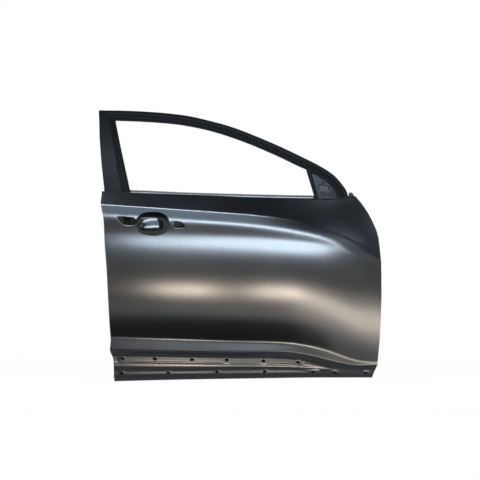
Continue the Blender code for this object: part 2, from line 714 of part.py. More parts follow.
def first_crossing(run, line):
    """Where a run of points first meets a line: its own step, the line's step and the place."""
    for step, (a, b) in enumerate(zip(run, run[1:])):
        for spot, (c, d) in enumerate(zip(line, line[1:])):
            place = intersect_line_line_2d(a, b, c, d)
            if place:
                return step, spot, place
    return None


def wall_contours():
    """The inner panel's bends: wall foot on the flange, wall top, ledge edge and main face."""
    crest = spaced(rounded(flat(WALL_TOP_PX), WALL_CORNER_RADIUS, closed=False), CONTOUR_SPACING)
    slope = math.tan(math.radians(WALL_DRAFT_DEG))
    drops = [ledge_depth(p.x, p.y) - flange_depth(p.x, p.y) for p in crest]
    foot = shifted(crest, [-slope * drop for drop in drops])
    ledge = rounded(flat(LEDGE_EDGE_PX), LEDGE_CORNER_RADIUS, closed=False)
    ledge = spaced(ledge, CONTOUR_SPACING * 2)
    main = shifted(ledge, LEDGE_HEIGHT * math.tan(math.radians(LEDGE_DRAFT_DEG)))
    return [("flange", foot), ("ledge", crest), ("ledge", ledge), ("main", main)]


def place_at_height(line, z):
    """First place where a line passes a height."""
    for a, b in zip(line, line[1:]):
        if (a.y - z) * (b.y - z) <= 0:
            return a.lerp(b, (a.y - z) / (a.y - b.y))
    return line[-1]


def inner_outline(bends, sides):
    """Edge of the inner panel: round the hem, over the front ear and back along the belt."""
    middle = len(sides) // 2
    rear_limit = up(WALL_TOP_PX[0][1])
    front_limit = up(FLANGE_FRONT_TOP_PX)
    rear = [p for p in sides[:middle] if p.y < rear_limit - HEM_RETURN / 2]
    front = [p for p in sides[middle:] if p.y < front_limit - HEM_RETURN / 2]
    rear_top = rear_edge(rear_limit) + SKIN_SHEET + HEM_GAP + SEAT_GAP
    outline = [("flange", Vector((rear_top, rear_limit)))]
    outline += [("flange", p) for p in rear + front]
    foot_top = place_at_height(bends[0][1][::-1], front_limit)
    outline.append(("flange", foot_top + Vector((HEM_RETURN / 2, 0))))
    outline += [(tag, line[-1]) for tag, line in bends]
    outline += [("main", p) for p in reversed(flat(PANEL_TOP_PX))]
    outline += [(tag, line[0]) for tag, line in reversed(bends)]
    return outline


def inner_panel(look):
    """Deep pressed inner panel: hem flange, walls, seal ledge, main face and its openings."""
    bends = wall_contours()
    rows = skin_rows()
    sides = shifted(skin_sides(rows), SKIN_SHEET + HEM_GAP + SEAT_GAP)
    foot, ties = tied_foot(bends[0][1], rows, sides)
    bends[0] = ("foot", foot)
    outline = inner_outline(bends, sides)
    surfaces = {"flange": flange_depth, "ledge": ledge_depth, "main": panel_depth}

    def depth(x, z, tag):
        if tag in surfaces:
            return surfaces[tag](x, z)
        if tag == "foot":
            return flange_depth(x, z) + (EAR_GAP if z > up(FLANGE_FRONT_TOP_PX) and x > 0 else SEAT_GAP)
        return panel_depth(x, z) - (HOLE_STEP if tag == "rim" else 0)

    edge = [p for _, p in outline]
    contours = [(tag, line, False) for tag, line in bends]
    contours += [("flange", tie, False) for tie in ties if tie[0] in edge]
    holes = []
    for corners in ACCESS_HOLES_PX:
        hole = rounded(flat(corners), ACCESS_CORNER_RADIUS)
        holes.append(("rim", hole, True))
        contours.append(("rim", grown(hole, HOLE_STEP_WIDTH / 2), True))
        contours.append(("step", grown(hole, HOLE_STEP_WIDTH), True))
    speaker = across(SPEAKER_PX[0]), up(SPEAKER_PX[1])
    holes.append(("rim", circle(*speaker, SPEAKER_RADIUS, 36), True))
    contours.append(("rim", circle(*speaker, SPEAKER_SEAT_RADIUS, 36), True))
    contours.append(("step", circle(*speaker, SPEAKER_SEAT_RADIUS + HOLE_STEP_WIDTH / 2, 36), True))
    for place in flat(SMALL_HOLES_PX):
        holes.append(("step", circle(place.x, place.y, SMALL_HOLE_RADIUS, 8), True))
    bm = stamped_mesh(outline, contours, holes, depth)
    turn(bm, inboard=False)
    panel = thicken(add_object("inner_panel", bm, look), INNER_SHEET)
    wall_holes(panel, look)
    return panel


def wall_holes(panel, look):
    """Cuts the latch opening, the hinges' bolt holes and the check arm's slot in the side walls."""
    bolts, slot = hinge_holes(hinge_depths()[2])
    z = up(LATCH_PX)
    middle = latch_depths()[2]
    latch = [latch_opening(z, middle)] + latch_bolts(z, middle)
    for rear, holes in ((True, latch), (False, bolts + [slot])):
        bm = bmesh.new()
        for hole in holes:
            near = [bm.verts.new(wall_point(rear, p.x, p.y, -WALL_MARGIN)) for p in hole]
            far = [bm.verts.new(wall_point(rear, p.x, p.y, WALL_MARGIN)) for p in hole]
            bm.faces.new(near)
            bm.faces.new(far[::-1])
            for i in range(len(hole)):
                j = (i + 1) % len(hole)
                bm.faces.new((near[i], near[j], far[j], far[i]))
        bmesh.ops.recalc_face_normals(bm, faces=bm.faces)
        combine(panel, add_object(f"wall_cutter_{int(rear)}", bm, look), "DIFFERENCE")


def section_rings(stations, profile, base, sheet):
    """Closed rings of a roll-formed sheet at each station between an outer and an inner edge.

    The profile's points are a share of the way from outer to inner edge and a depth behind the
    base. It is a function of the station's number and places, and the sheet lies on its left.
    """
    rings = []
    for k, (outer, inner) in enumerate(stations):
        a, b = flat([outer, inner])
        width = (b - a).length
        line = [Vector((share * width, sunk)) for share, sunk in profile(k, a, b)]
        ring = []
        for q in line + shifted(line, sheet)[::-1]:
            p = a.lerp(b, q.x / width)
            ring.append(Vector((p.x, base(p.x, p.y) + q.y, p.y)))
        rings.append(ring)
    return rings


def frame_back(k, last, place, seat_lift):
    """Depth of a frame section: it meets the inner panel at its foot stations."""
    if k < last:
        return FRAME_DEPTH
    return panel_depth(place.x, place.y) - frame_depth(place.x, place.y) - seat_lift


def denser(stations, spacing):
    """Adds stations so that a curved piece keeps its curve."""
    result = []
    for (outer, inner), (next_outer, next_inner) in zip(stations, stations[1:]):
        run = (flat([next_outer])[0] - flat([outer])[0]).length
        count = max(1, math.ceil(run / spacing))
        for k in range(count):
            t = k / count
            result.append((Vector(outer).lerp(Vector(next_outer), t), Vector(inner).lerp(Vector(next_inner), t)))
    return result + [stations[-1]]


def header_profile(k, outer, inner):
    """Header's profile: outer lip, smooth band, two ridges between grooves, inner wall and lip."""
    face = [(share, rise * GROOVE_DEPTH) for share, rise in HEADER_FACE_SHARES]
    back = frame_back(k, len(HEADER_PX) - 2, inner, SEAT_GAP)
    middle = frame_back(k, len(HEADER_PX) - 2, outer.lerp(inner, HEADER_BACK_SHARE), SEAT_GAP)
    return [(FRAME_LIP_SHARE, HEADER_LIP)] + face + [(1, back), (HEADER_BACK_SHARE, middle)]


def sash_profile(k, outer, inner):
    """Rear upright's profile: wide smooth cover seat, then the glass channel's grooves."""
    face = [(share, rise * GROOVE_DEPTH) for share, rise in SASH_FACE_SHARES]
    back = frame_back(k, len(SASH_PX) - 2, inner, SEAT_GAP)
    middle = frame_back(k, len(SASH_PX) - 2, outer.lerp(inner, SASH_BACK_SHARE), SEAT_GAP)
    return [(FRAME_LIP_SHARE, SASH_LIP)] + face + [(1, back), (SASH_BACK_SHARE, middle)]


def channel_profile(k, outer, inner):
    """Glass channel's profile: a web at the outer edge and two lips towards the glass."""
    bend = CHANNEL_BEND_SHARE
    return [(1, POST_DEPTH), (bend, POST_DEPTH), (0, POST_DEPTH - CHANNEL_RELIEF), (0, CHANNEL_RELIEF), (bend, 0),
            (1, 0)]


def mitred(stations, gap):
    """Stations whose first one, on the mitre between header and sash, stands back by a gap."""
    (outer, inner), (next_outer, next_inner) = stations[:2]
    back = gap * (PHOTO_FRONT_PX - PHOTO_REAR_PX) / DOOR_LENGTH

    def moved(p, q):
        step = Vector(q) - Vector(p)
        return tuple(Vector(p) + step.normalized() * back)

    return [(moved(outer, next_outer), moved(inner, next_inner))] + stations[1:]


def run_depth(x, z):
    """Depth of the rear glass guide's outer face below the belt."""
    return frame_depth(x, z) + GROOVE_DEPTH


def folded_strap(name, heights, profile, thickness, look):
    """Strap between two heights, folded along the profile of (x, depth) points at each height."""
    rings = []
    for z in heights:
        line = profile(z)
        rings.append([Vector((p.x, p.y, z)) for p in line + shifted(line, thickness)[::-1]])
    return closed_loft(name, rings, look)


def run_bracket(name, place_px, base, look):
    """Strap from a glass guide's back lip to the inner panel's main face, with a foot at each end."""
    x, middle = across(place_px[0]), up(place_px[1])
    foot = RUN_BRACKET_WIDTH
    clear = SEAT_GAP + RUN_BRACKET_SLACK

    def profile(z):
        return [Vector((x - foot / 2, base(x - foot / 2, z) + POST_DEPTH + clear)),
                Vector((x, base(x, z) + POST_DEPTH + clear)),
                Vector((x, panel_depth(x, z) - clear - CHANNEL_SHEET)),
                Vector((x + foot, panel_depth(x + foot, z) - clear - CHANNEL_SHEET))]

    heights = [middle - RUN_BRACKET_WIDTH / 2, middle + RUN_BRACKET_WIDTH / 2]
    return folded_strap(name, heights, profile, CHANNEL_SHEET, look)


def mirror_gusset(look):
    """Corner plate between post and header, with three holes for the mirror's studs."""
    header = flat([inner for _, inner in HEADER_PX[slice(*GUSSET_HEADER_STATIONS)]])
    post = flat([outer for outer, _ in POST_PX[slice(*GUSSET_POST_STATIONS)]])
    edge = grown(header + post[::-1], -SEAT_GAP)
    outline = [("plate", p) for p in spaced(edge, CONTOUR_SPACING, closed=True)]
    holes = [("plate", circle(p.x, p.y, MIRROR_HOLE_RADIUS, 12), True) for p in flat(MIRROR_HOLES_PX)]
    pad = [("pad", rounded(flat(GUSSET_PAD_PX), GUSSET_PAD_CORNER), True)]
    pad.append(("plate", grown(pad[0][1], GUSSET_PAD_CORNER / 2), True))

    def depth(x, z, tag):
        return frame_depth(x, z) + GUSSET_STEP - (GUSSET_PAD_RISE if tag == "pad" else 0)

    bm = stamped_mesh(outline, pad, holes, depth)
    turn(bm, inboard=False)
    return thicken(add_object("mirror_gusset", bm, look), FRAME_SHEET)


def nut(name, place, normal, look):
    """Round weld nut with an open bore, seated behind a plate."""
    turn_to = normal.to_track_quat("Z", "Y").to_matrix()
    rings = []
    for radius, rise in ((NUT_RADIUS, 0), (NUT_RADIUS, NUT_HEIGHT), (NUT_BORE_RADIUS, NUT_HEIGHT),
                         (NUT_BORE_RADIUS, 0)):
        ring = circle(0, 0, radius, 12)
        rings.append([place + turn_to @ Vector((p.x, p.y, rise)) for p in ring])
    return closed_loft(name, rings, look, ring_ends=True)


def mirror_nuts(look):
    """One weld nut behind each mirror hole."""
    for k, p in enumerate(flat(MIRROR_HOLES_PX)):
        lean = frame_depth(p.x, p.y + NUT_RADIUS) - frame_depth(p.x, p.y - NUT_RADIUS)
        turn_in = frame_depth(p.x + NUT_RADIUS, p.y) - frame_depth(p.x - NUT_RADIUS, p.y)
        normal = Vector((-turn_in / (2 * NUT_RADIUS), 1, -lean / (2 * NUT_RADIUS))).normalized()
        face = Vector((p.x, frame_depth(p.x, p.y) + GUSSET_STEP, p.y))
        nut(f"mirror_weld_nut_{k + 1}", face + normal * (FRAME_SHEET + HEM_GAP), normal, look)


def belt_rail(name, range_px, section, base, drop_from, thickness, look):
    """Pressed rail along the belt: a section of (drop, depth behind the base) between two columns."""
    count = math.ceil((across(range_px[1]) - across(range_px[0])) / (CONTOUR_SPACING * 1.5))
    rows = []
    for k in range(count + 1):
        x = across(range_px[0] + (range_px[1] - range_px[0]) * k / count)
        rows.append([Vector((x, base(x, drop_from(x) - drop) + sunk, drop_from(x) - drop))
                     for drop, sunk in section])
    bm = bmesh.new()
    add_grid(bm, rows)
    bmesh.ops.recalc_face_normals(bm, faces=bm.faces)
    turn(bm, inboard=False)
    return thicken(add_object(name, bm, look), thickness)


def belt_outer_reinforcement(look):
    """Rail whose top flange the skin's belt hem clasps, with a hat rib below it."""
    flange = SKIN_SHEET + HEM_GAP
    clear = 2 * SKIN_SHEET + INNER_SHEET + 3 * HEM_GAP
    edge = SKIN_SHEET + HEM_GAP + SEAT_GAP
    fold = HEM_RETURN + WALL_MARGIN
    rib = clear + RIB_HEIGHT
    section = [(edge, flange), (fold, flange), (fold + RIB_HEIGHT, rib), (BELT_OUTER_DROP - RIB_HEIGHT, rib),
               (BELT_OUTER_DROP, clear)]
    return belt_rail("belt_outer_reinforcement", BELT_OUTER_RANGE_PX, section, pressed_depth,
                     belt_height, INNER_SHEET, look)


def belt_inner_reinforcement(look):
    """Rail on the outboard side of the inner panel's belt edge, with one rib."""
    back = -REINFORCEMENT_SHEET - SEAT_GAP
    third = BELT_INNER_DROP / 3
    section = [(WALL_MARGIN, back), (third, back), (third + RIB_HEIGHT / 2, back - RIB_HEIGHT),
               (2 * third - RIB_HEIGHT / 2, back - RIB_HEIGHT), (2 * third, back), (BELT_INNER_DROP, back)]
    top = spline([p.x for p in flat(PANEL_TOP_PX)], [p.y for p in flat(PANEL_TOP_PX)])
    return belt_rail("belt_inner_reinforcement", BELT_INNER_RANGE_PX, section, panel_depth, top,
                     REINFORCEMENT_SHEET, look)


def front_beam_height():
    """Height of the beam's front end: its bracket lies below the upper hinge's tapping plate."""
    return up(UPPER_HINGE_PX) - (HINGE_PLATE_LENGTH + BEAM_PLATE_HEIGHT) / 2 - BEAM_HINGE_GAP


def check_arm_height():
    """Height of the check arm's slot, between the beam's bracket and the lower hinge's tapping plate."""
    low = up(LOWER_HINGE_PX) + HINGE_PLATE_LENGTH / 2
    high = front_beam_height() - BEAM_PLATE_HEIGHT / 2
    return low + (high - low) * CHECK_ARM_SHARE


def beam_ends():
    """End points of the crash beam's axis."""
    ends = []
    rear_place, front_place = flat(BEAM_PX)
    front_place.y = front_beam_height()
    for place, share in zip((rear_place, front_place), BEAM_END_DEPTH_SHARES):
        depth = pressed_depth(place.x, place.y)
        ends.append(Vector((place.x, depth + share * (panel_depth(place.x, place.y) - depth), place.y)))
    return ends


def ring_about(centre, axis, radius, count):
    """Circle of points about an axis."""
    turn_to = axis.to_track_quat("Z", "Y").to_matrix()
    return [centre + turn_to @ Vector((p.x, p.y, 0)) for p in circle(0, 0, radius, count)]


def tube(name, start, end, outer, inner, look):
    """Open round tube between two points."""
    axis = (end - start).normalized()
    rings = [ring_about(start, axis, outer, 20), ring_about(end, axis, outer, 20),
             ring_about(end, axis, inner, 20), ring_about(start, axis, inner, 20)]
    return closed_loft(name, rings, look, ring_ends=True)


def hidden(obj):
    """Marks a cutting or joining shape that is not a part of the door."""
    obj.hide_render = True
    obj.display_type = "WIRE"
    return obj


def combine(obj, other, operation):
    """Boolean modifier on an object."""
    boolean = obj.modifiers.new(operation.capitalize(), "BOOLEAN")
    boolean.operation = operation
    boolean.solver = "EXACT"
    boolean.object = hidden(other)


def wall_point(rear, z, depth, back_off):
    """Point on the inner face of the rear or front wall, or a distance inside it."""
    crest = wall_contours()[1][1]
    run = sorted((p.y, p.x) for p in crest if (p.x < 0) == rear)
    x = float(np.interp(z, [height for height, _ in run], [place for _, place in run]))
    side = 1 if rear else -1
    spread = math.tan(math.radians(WALL_DRAFT_DEG)) * (ledge_depth(x, z) - depth)
    return Vector((x + side * (back_off - spread), depth, z))


def plate_point(rear, z_range, z, depth, back_off):
    """Point on the flat plane along the inside of a side wall that a plate of this height range lies on.

    All plates of the front wall share one plane, that of the hinge reinforcement.
    """
    low, high = z_range if rear else hinge_heights()
    ends = [wall_point(rear, end, depth, back_off) for end in (low, high)]
    return Vector((ends[0].lerp(ends[1], (z - low) / (high - low)).x, depth, z))


def wall_sheet(name, rear, z_range, depth_range, back_off, thickness, look, holes=()):
    """Plate that lies along the inside of a side wall, with holes given as (z, depth) outlines."""
    z_low, z_high = z_range
    d_low, d_high = depth_range
    corner = [Vector(p) for p in ((z_low, d_low), (z_high, d_low), (z_high, d_high), (z_low, d_high))]
    outline = [("plate", p) for p in corner]
    bm = stamped_mesh(outline, [], [("plate", hole, True) for hole in holes], lambda x, z, tag: 0)
    for v in bm.verts:
        v.co = plate_point(rear, z_range, v.co.x, v.co.z, back_off)
    bmesh.ops.recalc_face_normals(bm, faces=bm.faces)
    bm.normal_update()
    if (sum(f.normal.x for f in bm.faces) > 0) == rear:
        bmesh.ops.reverse_faces(bm, faces=bm.faces)
    return thicken(add_object(name, bm, look), thickness)


def hinge_holes(depth):
    """Bolt holes of both hinges and the check arm's slot, as (z, depth) outlines."""
    holes = []
    for row_px in (UPPER_HINGE_PX, LOWER_HINGE_PX):
        for side in (-.5, .5):
            holes.append(circle(up(row_px) + side * HINGE_BOLT_SPACING, depth, HINGE_BOLT_RADIUS, 10))
    slot = box_outline(check_arm_height(), depth, CHECK_SLOT_HEIGHT, CHECK_SLOT_LENGTH, CHECK_SLOT_HEIGHT / 3)
    return holes, slot


def hinge_heights():
    """Lowest and highest point of the hinge reinforcement."""
    reach = HINGE_PLATE_LENGTH / 2
    return up(LOWER_HINGE_PX) - reach - WALL_MARGIN, up(UPPER_HINGE_PX) + reach + WALL_MARGIN


def hinge_depths():
    """Outboard edge, inboard edge and middle line of the hinge reinforcement."""
    heights = hinge_heights()
    x = wall_point(False, heights[1], 0, 0).x
    inboard = min(ledge_depth(x, z) for z in heights) - WALL_MARGIN
    return inboard - HINGE_REINFORCEMENT_WIDTH, inboard, inboard - HINGE_REINFORCEMENT_WIDTH / 2


def latch_depths():
    """Outboard edge, inboard edge and middle line of the latch reinforcement."""
    z = up(LATCH_PX)
    inboard = ledge_depth(wall_point(True, z, 0, 0).x, z) - WALL_MARGIN
    return inboard - LATCH_PLATE_DEPTH, inboard, inboard - LATCH_PLATE_DEPTH / 2


def hinge_parts(look, plate_look):
    """Reinforcement inside the front wall, its two tapping plates and the check arm's plate."""
    z_low, z_high = hinge_heights()
    depth_low, depth_high, middle = hinge_depths()
    bolts, slot = hinge_holes(middle)
    back_off = SEAT_GAP
    wall_sheet("hinge_reinforcement", False, (z_low, z_high), (depth_low, depth_high), back_off, HINGE_SHEET,
               look, bolts + [slot])
    back_off += HINGE_SHEET + SEAT_GAP
    for name, row_px, pair in (("upper_hinge_tapping_plate", UPPER_HINGE_PX, bolts[:2]),
                               ("lower_hinge_tapping_plate", LOWER_HINGE_PX, bolts[2:])):
        half = HINGE_PLATE_LENGTH / 2
        wall_sheet(name, False, (up(row_px) - half, up(row_px) + half),
                   (middle - HINGE_PLATE_DEPTH / 2, middle + HINGE_PLATE_DEPTH / 2), back_off,
                   HINGE_PLATE_THICKNESS, plate_look, pair)
    half = HINGE_PLATE_LENGTH / 2
    wall_sheet("check_arm_reinforcement", False, (check_arm_height() - half, check_arm_height() + half),
               (depth_low + WALL_MARGIN, depth_high - WALL_MARGIN), back_off, HINGE_SHEET, look, [slot])


def latch_reinforcement(look):
    """Plate inside the rear wall, round the latch opening and its three bolt holes."""
    z = up(LATCH_PX)
    low, high, middle = latch_depths()
    holes = [latch_opening(z, middle)] + latch_bolts(z, middle)
    half = LATCH_PLATE_LENGTH / 2
    wall_sheet("latch_reinforcement", True, (z - half, z + half), (low, high), SEAT_GAP, HINGE_SHEET,
               look, holes)


def latch_opening(z, depth):
    return box_outline(z, depth, LATCH_HOLE_LENGTH, LATCH_HOLE_DEPTH, LATCH_HOLE_DEPTH / 3)


def latch_bolts(z, depth):
    reach = LATCH_HOLE_LENGTH / 2 + 2 * HINGE_BOLT_RADIUS
    return [circle(z - reach, depth, HINGE_BOLT_RADIUS, 10), circle(z + reach, depth, HINGE_BOLT_RADIUS, 10)]


def handle_reinforcement(look):
    """Plate behind the handle openings, cut clear of the cup and the openings' seats."""
    outline = [("plate", p) for p in spaced(flat(HANDLE_PLATE_PX), CONTOUR_SPACING, closed=True)]
    holes = [("plate", cup_ring(CUP_CLEAR_SHARE, CUP_POINTS), True)]
    for hole in handle_holes():
        holes.append(("plate", grown(hole, HOLE_SEAT_WIDTH + WALL_MARGIN), True))

    def depth(x, z, tag):
        return pressed_depth(x, z) + SKIN_SHEET + HANDLE_PLATE_GAP

    edge = [p for _, p in outline]
    low, high = min(p.y for p in edge), max(p.y for p in edge)
    left, right = min(p.x for p in edge), max(p.x for p in edge)
    rows = math.ceil((high - low) / HANDLE_ROW_SPACING)
    columns = math.ceil((right - left) / HANDLE_ROW_SPACING)
    contours = []
    fences = [grown(hole, WALL_MARGIN) for _, hole, _ in holes]
    inner = grown(edge, -WALL_MARGIN)
    for j in range(1, rows):
        row = [Vector((left + (right - left) * i / columns, low + (high - low) * j / rows))
               for i in range(columns + 1)]
        for run in runs_clear_of(row, lambda p: not inside(p, inner) or any(inside(p, f) for f in fences)):
            contours.append(("plate", run, False))
    bm = stamped_mesh(outline, contours, holes, depth)
    turn(bm, inboard=False)
    return thicken(add_object("handle_reinforcement", bm, look), CHANNEL_SHEET)


def pull_handle_bracket(look):
    """Hat bracket on the outboard side of the inner panel, where the pull handle bolts on."""
    x, z = across(PULL_BRACKET_PX[0]), up(PULL_BRACKET_PX[1])
    half, rise, foot = PULL_BRACKET_LENGTH / 2, PULL_BRACKET_RISE, PULL_BRACKET_WIDTH / 2
    profile = [(-half - foot, 0), (-half, 0), (-half + foot / 2, rise), (half - foot / 2, rise), (half, 0),
               (half + foot, 0)]
    rows = []
    for side in (-.5, .5):
        row = []
        for dz, lift in profile:
            place = Vector((x + side * PULL_BRACKET_WIDTH, z + dz))
            back = panel_depth(place.x, place.y) - SEAT_GAP - REINFORCEMENT_SHEET
            row.append(Vector((place.x, back - lift, place.y)))
        rows.append(row)
    bm = bmesh.new()
    add_grid(bm, rows)
    turn(bm, inboard=False)
    return thicken(add_object("pull_handle_bracket", bm, look), REINFORCEMENT_SHEET)


def beam_bracket(name, rear, look):
    """Sleeve round the beam's end, joined to a plate on the inner panel's side wall."""
    start, end = beam_ends()
    tip, other = (start, end) if rear else (end, start)
    axis = (other - tip).normalized()
    plate_gap = SEAT_GAP if rear else 2 * SEAT_GAP + HINGE_SHEET
    z_range = (tip.z - BEAM_PLATE_HEIGHT / 2, tip.z + BEAM_PLATE_HEIGHT / 2)
    depth_range = (tip.y - BEAM_PLATE_DEPTH / 2, tip.y + BEAM_PLATE_DEPTH / 2)
    plate = wall_sheet(name, rear, z_range, depth_range, plate_gap, BEAM_SLEEVE_WALL, look)
    core = plate_gap + BEAM_SLEEVE_WALL / 2
    root = plate_point(rear, z_range, tip.z, tip.y, core)
    normal = (plate_point(rear, z_range, z_range[1], tip.y, core) - root).cross(
        plate_point(rear, z_range, tip.z, depth_range[1], core) - root)
    rings = []
    for radius in (BEAM_RADIUS + SEAT_GAP + BEAM_SLEEVE_WALL, BEAM_RADIUS + SEAT_GAP):
        far = ring_about(tip + axis * BEAM_SLEEVE_LENGTH, axis, radius, 20)
        near = [p + axis * (normal.dot(root - p) / normal.dot(axis)) for p in far]
        rings += [near, far] if not rings else [far, near]
    sleeve = closed_loft(name + "_sleeve", rings, look, ring_ends=True)
    combine(plate, sleeve, "UNION")


def beam_parts(look, beam_look):
    """Crash beam with a bracket at each end."""
    start, end = beam_ends()
    tube("impact_beam", start, end, BEAM_RADIUS, BEAM_RADIUS - BEAM_WALL, beam_look)
    beam_bracket("impact_beam_rear_bracket", True, look)
    beam_bracket("impact_beam_front_bracket", False, look)


def anti_flutter_pads(look):
    """Mastic pads that hold the skin on the crash beam."""
    start, end = beam_ends()
    for k, share in enumerate(BEAM_PAD_SHARES):
        centre = start.lerp(end, share)
        skin_side, beam_side = [], []
        for p in circle(centre.x, centre.z, BEAM_PAD_RADIUS, 14):
            axis = start.y + (end.y - start.y) * (p.x - start.x) / (end.x - start.x)
            skin_side.append(Vector((p.x, pressed_depth(p.x, p.y) + SKIN_SHEET + BEAM_PAD_GAP, p.y)))
            beam_side.append(Vector((p.x, axis - BEAM_RADIUS - 2 * SEAT_GAP, p.y)))
        closed_loft(f"anti_flutter_pad_{k + 1}", [skin_side, beam_side], look)


def stand_on_origin():
    """Moves the door so that the middle of its footprint is the origin."""
    bpy.context.view_layer.update()
    graph = bpy.context.evaluated_depsgraph_get()
    pieces = [obj for obj in bpy.context.scene.objects if not obj.hide_render]
    corners = [obj.matrix_world @ Vector(c) for obj in pieces for c in obj.evaluated_get(graph).bound_box]
    low = Vector([min(c[i] for c in corners) for i in range(3)])
    high = Vector([max(c[i] for c in corners) for i in range(3)])
    move = Vector((-(low.x + high.x) / 2, -(low.y + high.y) / 2, -low.z))
    for obj in bpy.context.scene.objects:
        obj.location += move


def build():
    """Builds the whole door."""
    for obj in list(bpy.data.objects):
        bpy.data.objects.remove(obj)
    primer = material("black_primed_skin", (0.020, 0.021, 0.023), 0.34)
    inner_primer = material("black_primed_inner_steel", (0.026, 0.027, 0.029), 0.46)
    frame_primer = material("black_primed_frame_steel", (0.024, 0.024, 0.026), 0.42)
    beam_primer = material("black_primed_tube", (0.030, 0.031, 0.033), 0.38)
    nut_primer = material("black_primed_nut", (0.040, 0.040, 0.042), 0.40, 0.3)
    mastic = material("grey_mastic", (0.16, 0.16, 0.15), 0.80)
    outer_panel(primer)
    inner_panel(inner_primer)
    header = section_rings(mitred(HEADER_PX, SEAT_GAP / 2), header_profile, frame_depth, FRAME_SHEET)
    closed_loft("header_rail", header, frame_primer)
    sash = section_rings(mitred(SASH_PX, SEAT_GAP / 2), sash_profile, frame_depth, FRAME_SHEET)
    closed_loft("b_pillar_sash", sash, frame_primer)
    post = section_rings(denser(POST_PX, SECTION_SPACING), channel_profile, frame_depth, CHANNEL_SHEET)
    closed_loft("front_post", post, frame_primer)
    guide = section_rings(denser(REAR_RUN_PX, SECTION_SPACING), channel_profile, run_depth, CHANNEL_SHEET)
    closed_loft("rear_run_channel", guide, frame_primer)
    run_bracket("rear_run_bracket", REAR_BRACKET_PX, run_depth, inner_primer)
    run_bracket("front_run_bracket", FRONT_BRACKET_PX, frame_depth, inner_primer)
    mirror_gusset(frame_primer)
    mirror_nuts(nut_primer)
    belt_outer_reinforcement(inner_primer)
    belt_inner_reinforcement(inner_primer)
    beam_parts(inner_primer, beam_primer)
    hinge_parts(inner_primer, nut_primer)
    latch_reinforcement(inner_primer)
    handle_reinforcement(inner_primer)
    pull_handle_bracket(inner_primer)
    anti_flutter_pads(mastic)
    stand_on_origin()


build()
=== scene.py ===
import json
import math

import bmesh
import bpy
import numpy as np
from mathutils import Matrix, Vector
from mathutils.geometry import delaunay_2d_cdt


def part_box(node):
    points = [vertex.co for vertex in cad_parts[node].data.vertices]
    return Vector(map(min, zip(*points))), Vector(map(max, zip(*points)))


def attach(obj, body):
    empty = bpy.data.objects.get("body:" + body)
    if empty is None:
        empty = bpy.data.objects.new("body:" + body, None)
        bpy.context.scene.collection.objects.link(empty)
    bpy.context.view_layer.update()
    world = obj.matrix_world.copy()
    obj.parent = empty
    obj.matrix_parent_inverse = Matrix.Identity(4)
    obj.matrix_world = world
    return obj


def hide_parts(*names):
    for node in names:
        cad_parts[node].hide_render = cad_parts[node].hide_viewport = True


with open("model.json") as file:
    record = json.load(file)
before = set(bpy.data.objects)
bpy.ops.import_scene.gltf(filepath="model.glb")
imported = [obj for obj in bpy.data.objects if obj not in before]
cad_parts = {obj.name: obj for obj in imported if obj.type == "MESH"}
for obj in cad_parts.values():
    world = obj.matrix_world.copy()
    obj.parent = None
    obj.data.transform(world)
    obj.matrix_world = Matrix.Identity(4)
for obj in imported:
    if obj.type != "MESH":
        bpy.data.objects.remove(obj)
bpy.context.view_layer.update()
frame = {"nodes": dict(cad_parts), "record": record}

# Outer panel
# The skin is one drawn sheet of 0.9 mm steel. Its edge is rolled round the inner panel's flange, and
# the sill band, the handle cup and all holes are pressed and pierced before that.
DOOR_LENGTH, DOOR_HEIGHT, SKIN_DROP = 1.160, 1.112, 0.098
REAR_PX, FRONT_PX, TOP_PX, BOTTOM_PX = 98.0, 381.0, 109.6, 380.9
LENGTH_PER_PX = DOOR_LENGTH / (FRONT_PX - REAR_PX)
HEIGHT_PER_PX = DOOR_HEIGHT / (BOTTOM_PX - TOP_PX)
SKIN_GRID = 0.0042
# How far out the belly lies, which all depths are counted from.
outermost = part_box("outer_panel")[0][1]


def across(px):
    """Place along the door of a photograph column."""
    return (np.asarray(px, float) - (REAR_PX + FRONT_PX) / 2) * LENGTH_PER_PX


def up(py):
    """Height over the door's foot of a photograph row."""
    return (BOTTOM_PX - np.asarray(py, float)) * HEIGHT_PER_PX


def spline(knots, values, x):
    """Natural cubic spline through the knots, one value for each x; values may have one row per x."""
    knots, values, x = np.asarray(knots, float), np.asarray(values, float), np.asarray(x, float)
    step = np.diff(knots, axis=-1)
    count = knots.shape[-1]
    matrix = np.zeros(knots.shape + (count,))
    target = np.zeros(np.broadcast_shapes(knots.shape, values.shape))
    matrix[..., 0, 0] = matrix[..., -1, -1] = 1
    for i in range(1, count - 1):
        matrix[..., i, i - 1] = step[..., i - 1]
        matrix[..., i, i] = 2 * (step[..., i - 1] + step[..., i])
        matrix[..., i, i + 1] = step[..., i]
        target[..., i] = 6 * ((values[..., i + 1] - values[..., i]) / step[..., i]
                              - (values[..., i] - values[..., i - 1]) / step[..., i - 1])
    bend = np.linalg.solve(matrix, target[..., None])[..., 0]
    if knots.ndim == 1:
        spot = np.clip(np.searchsorted(knots, x) - 1, 0, count - 2)
        x = np.clip(x, knots[0], knots[-1])
        near, far = spot, spot + 1
    else:
        x = np.clip(x, knots[:, 0], knots[:, -1])
        spot = np.clip((knots < x[:, None]).sum(axis=1) - 1, 0, count - 2)
        near, far = (np.arange(len(x)), spot), (np.arange(len(x)), spot + 1)
    width = knots[far] - knots[near]
    a = (knots[far] - x) / width
    b = 1 - a
    curve = (a ** 3 - a) * bend[near] + (b ** 3 - b) * bend[far]
    return a * values[near] + b * values[far] + curve * width ** 2 / 6


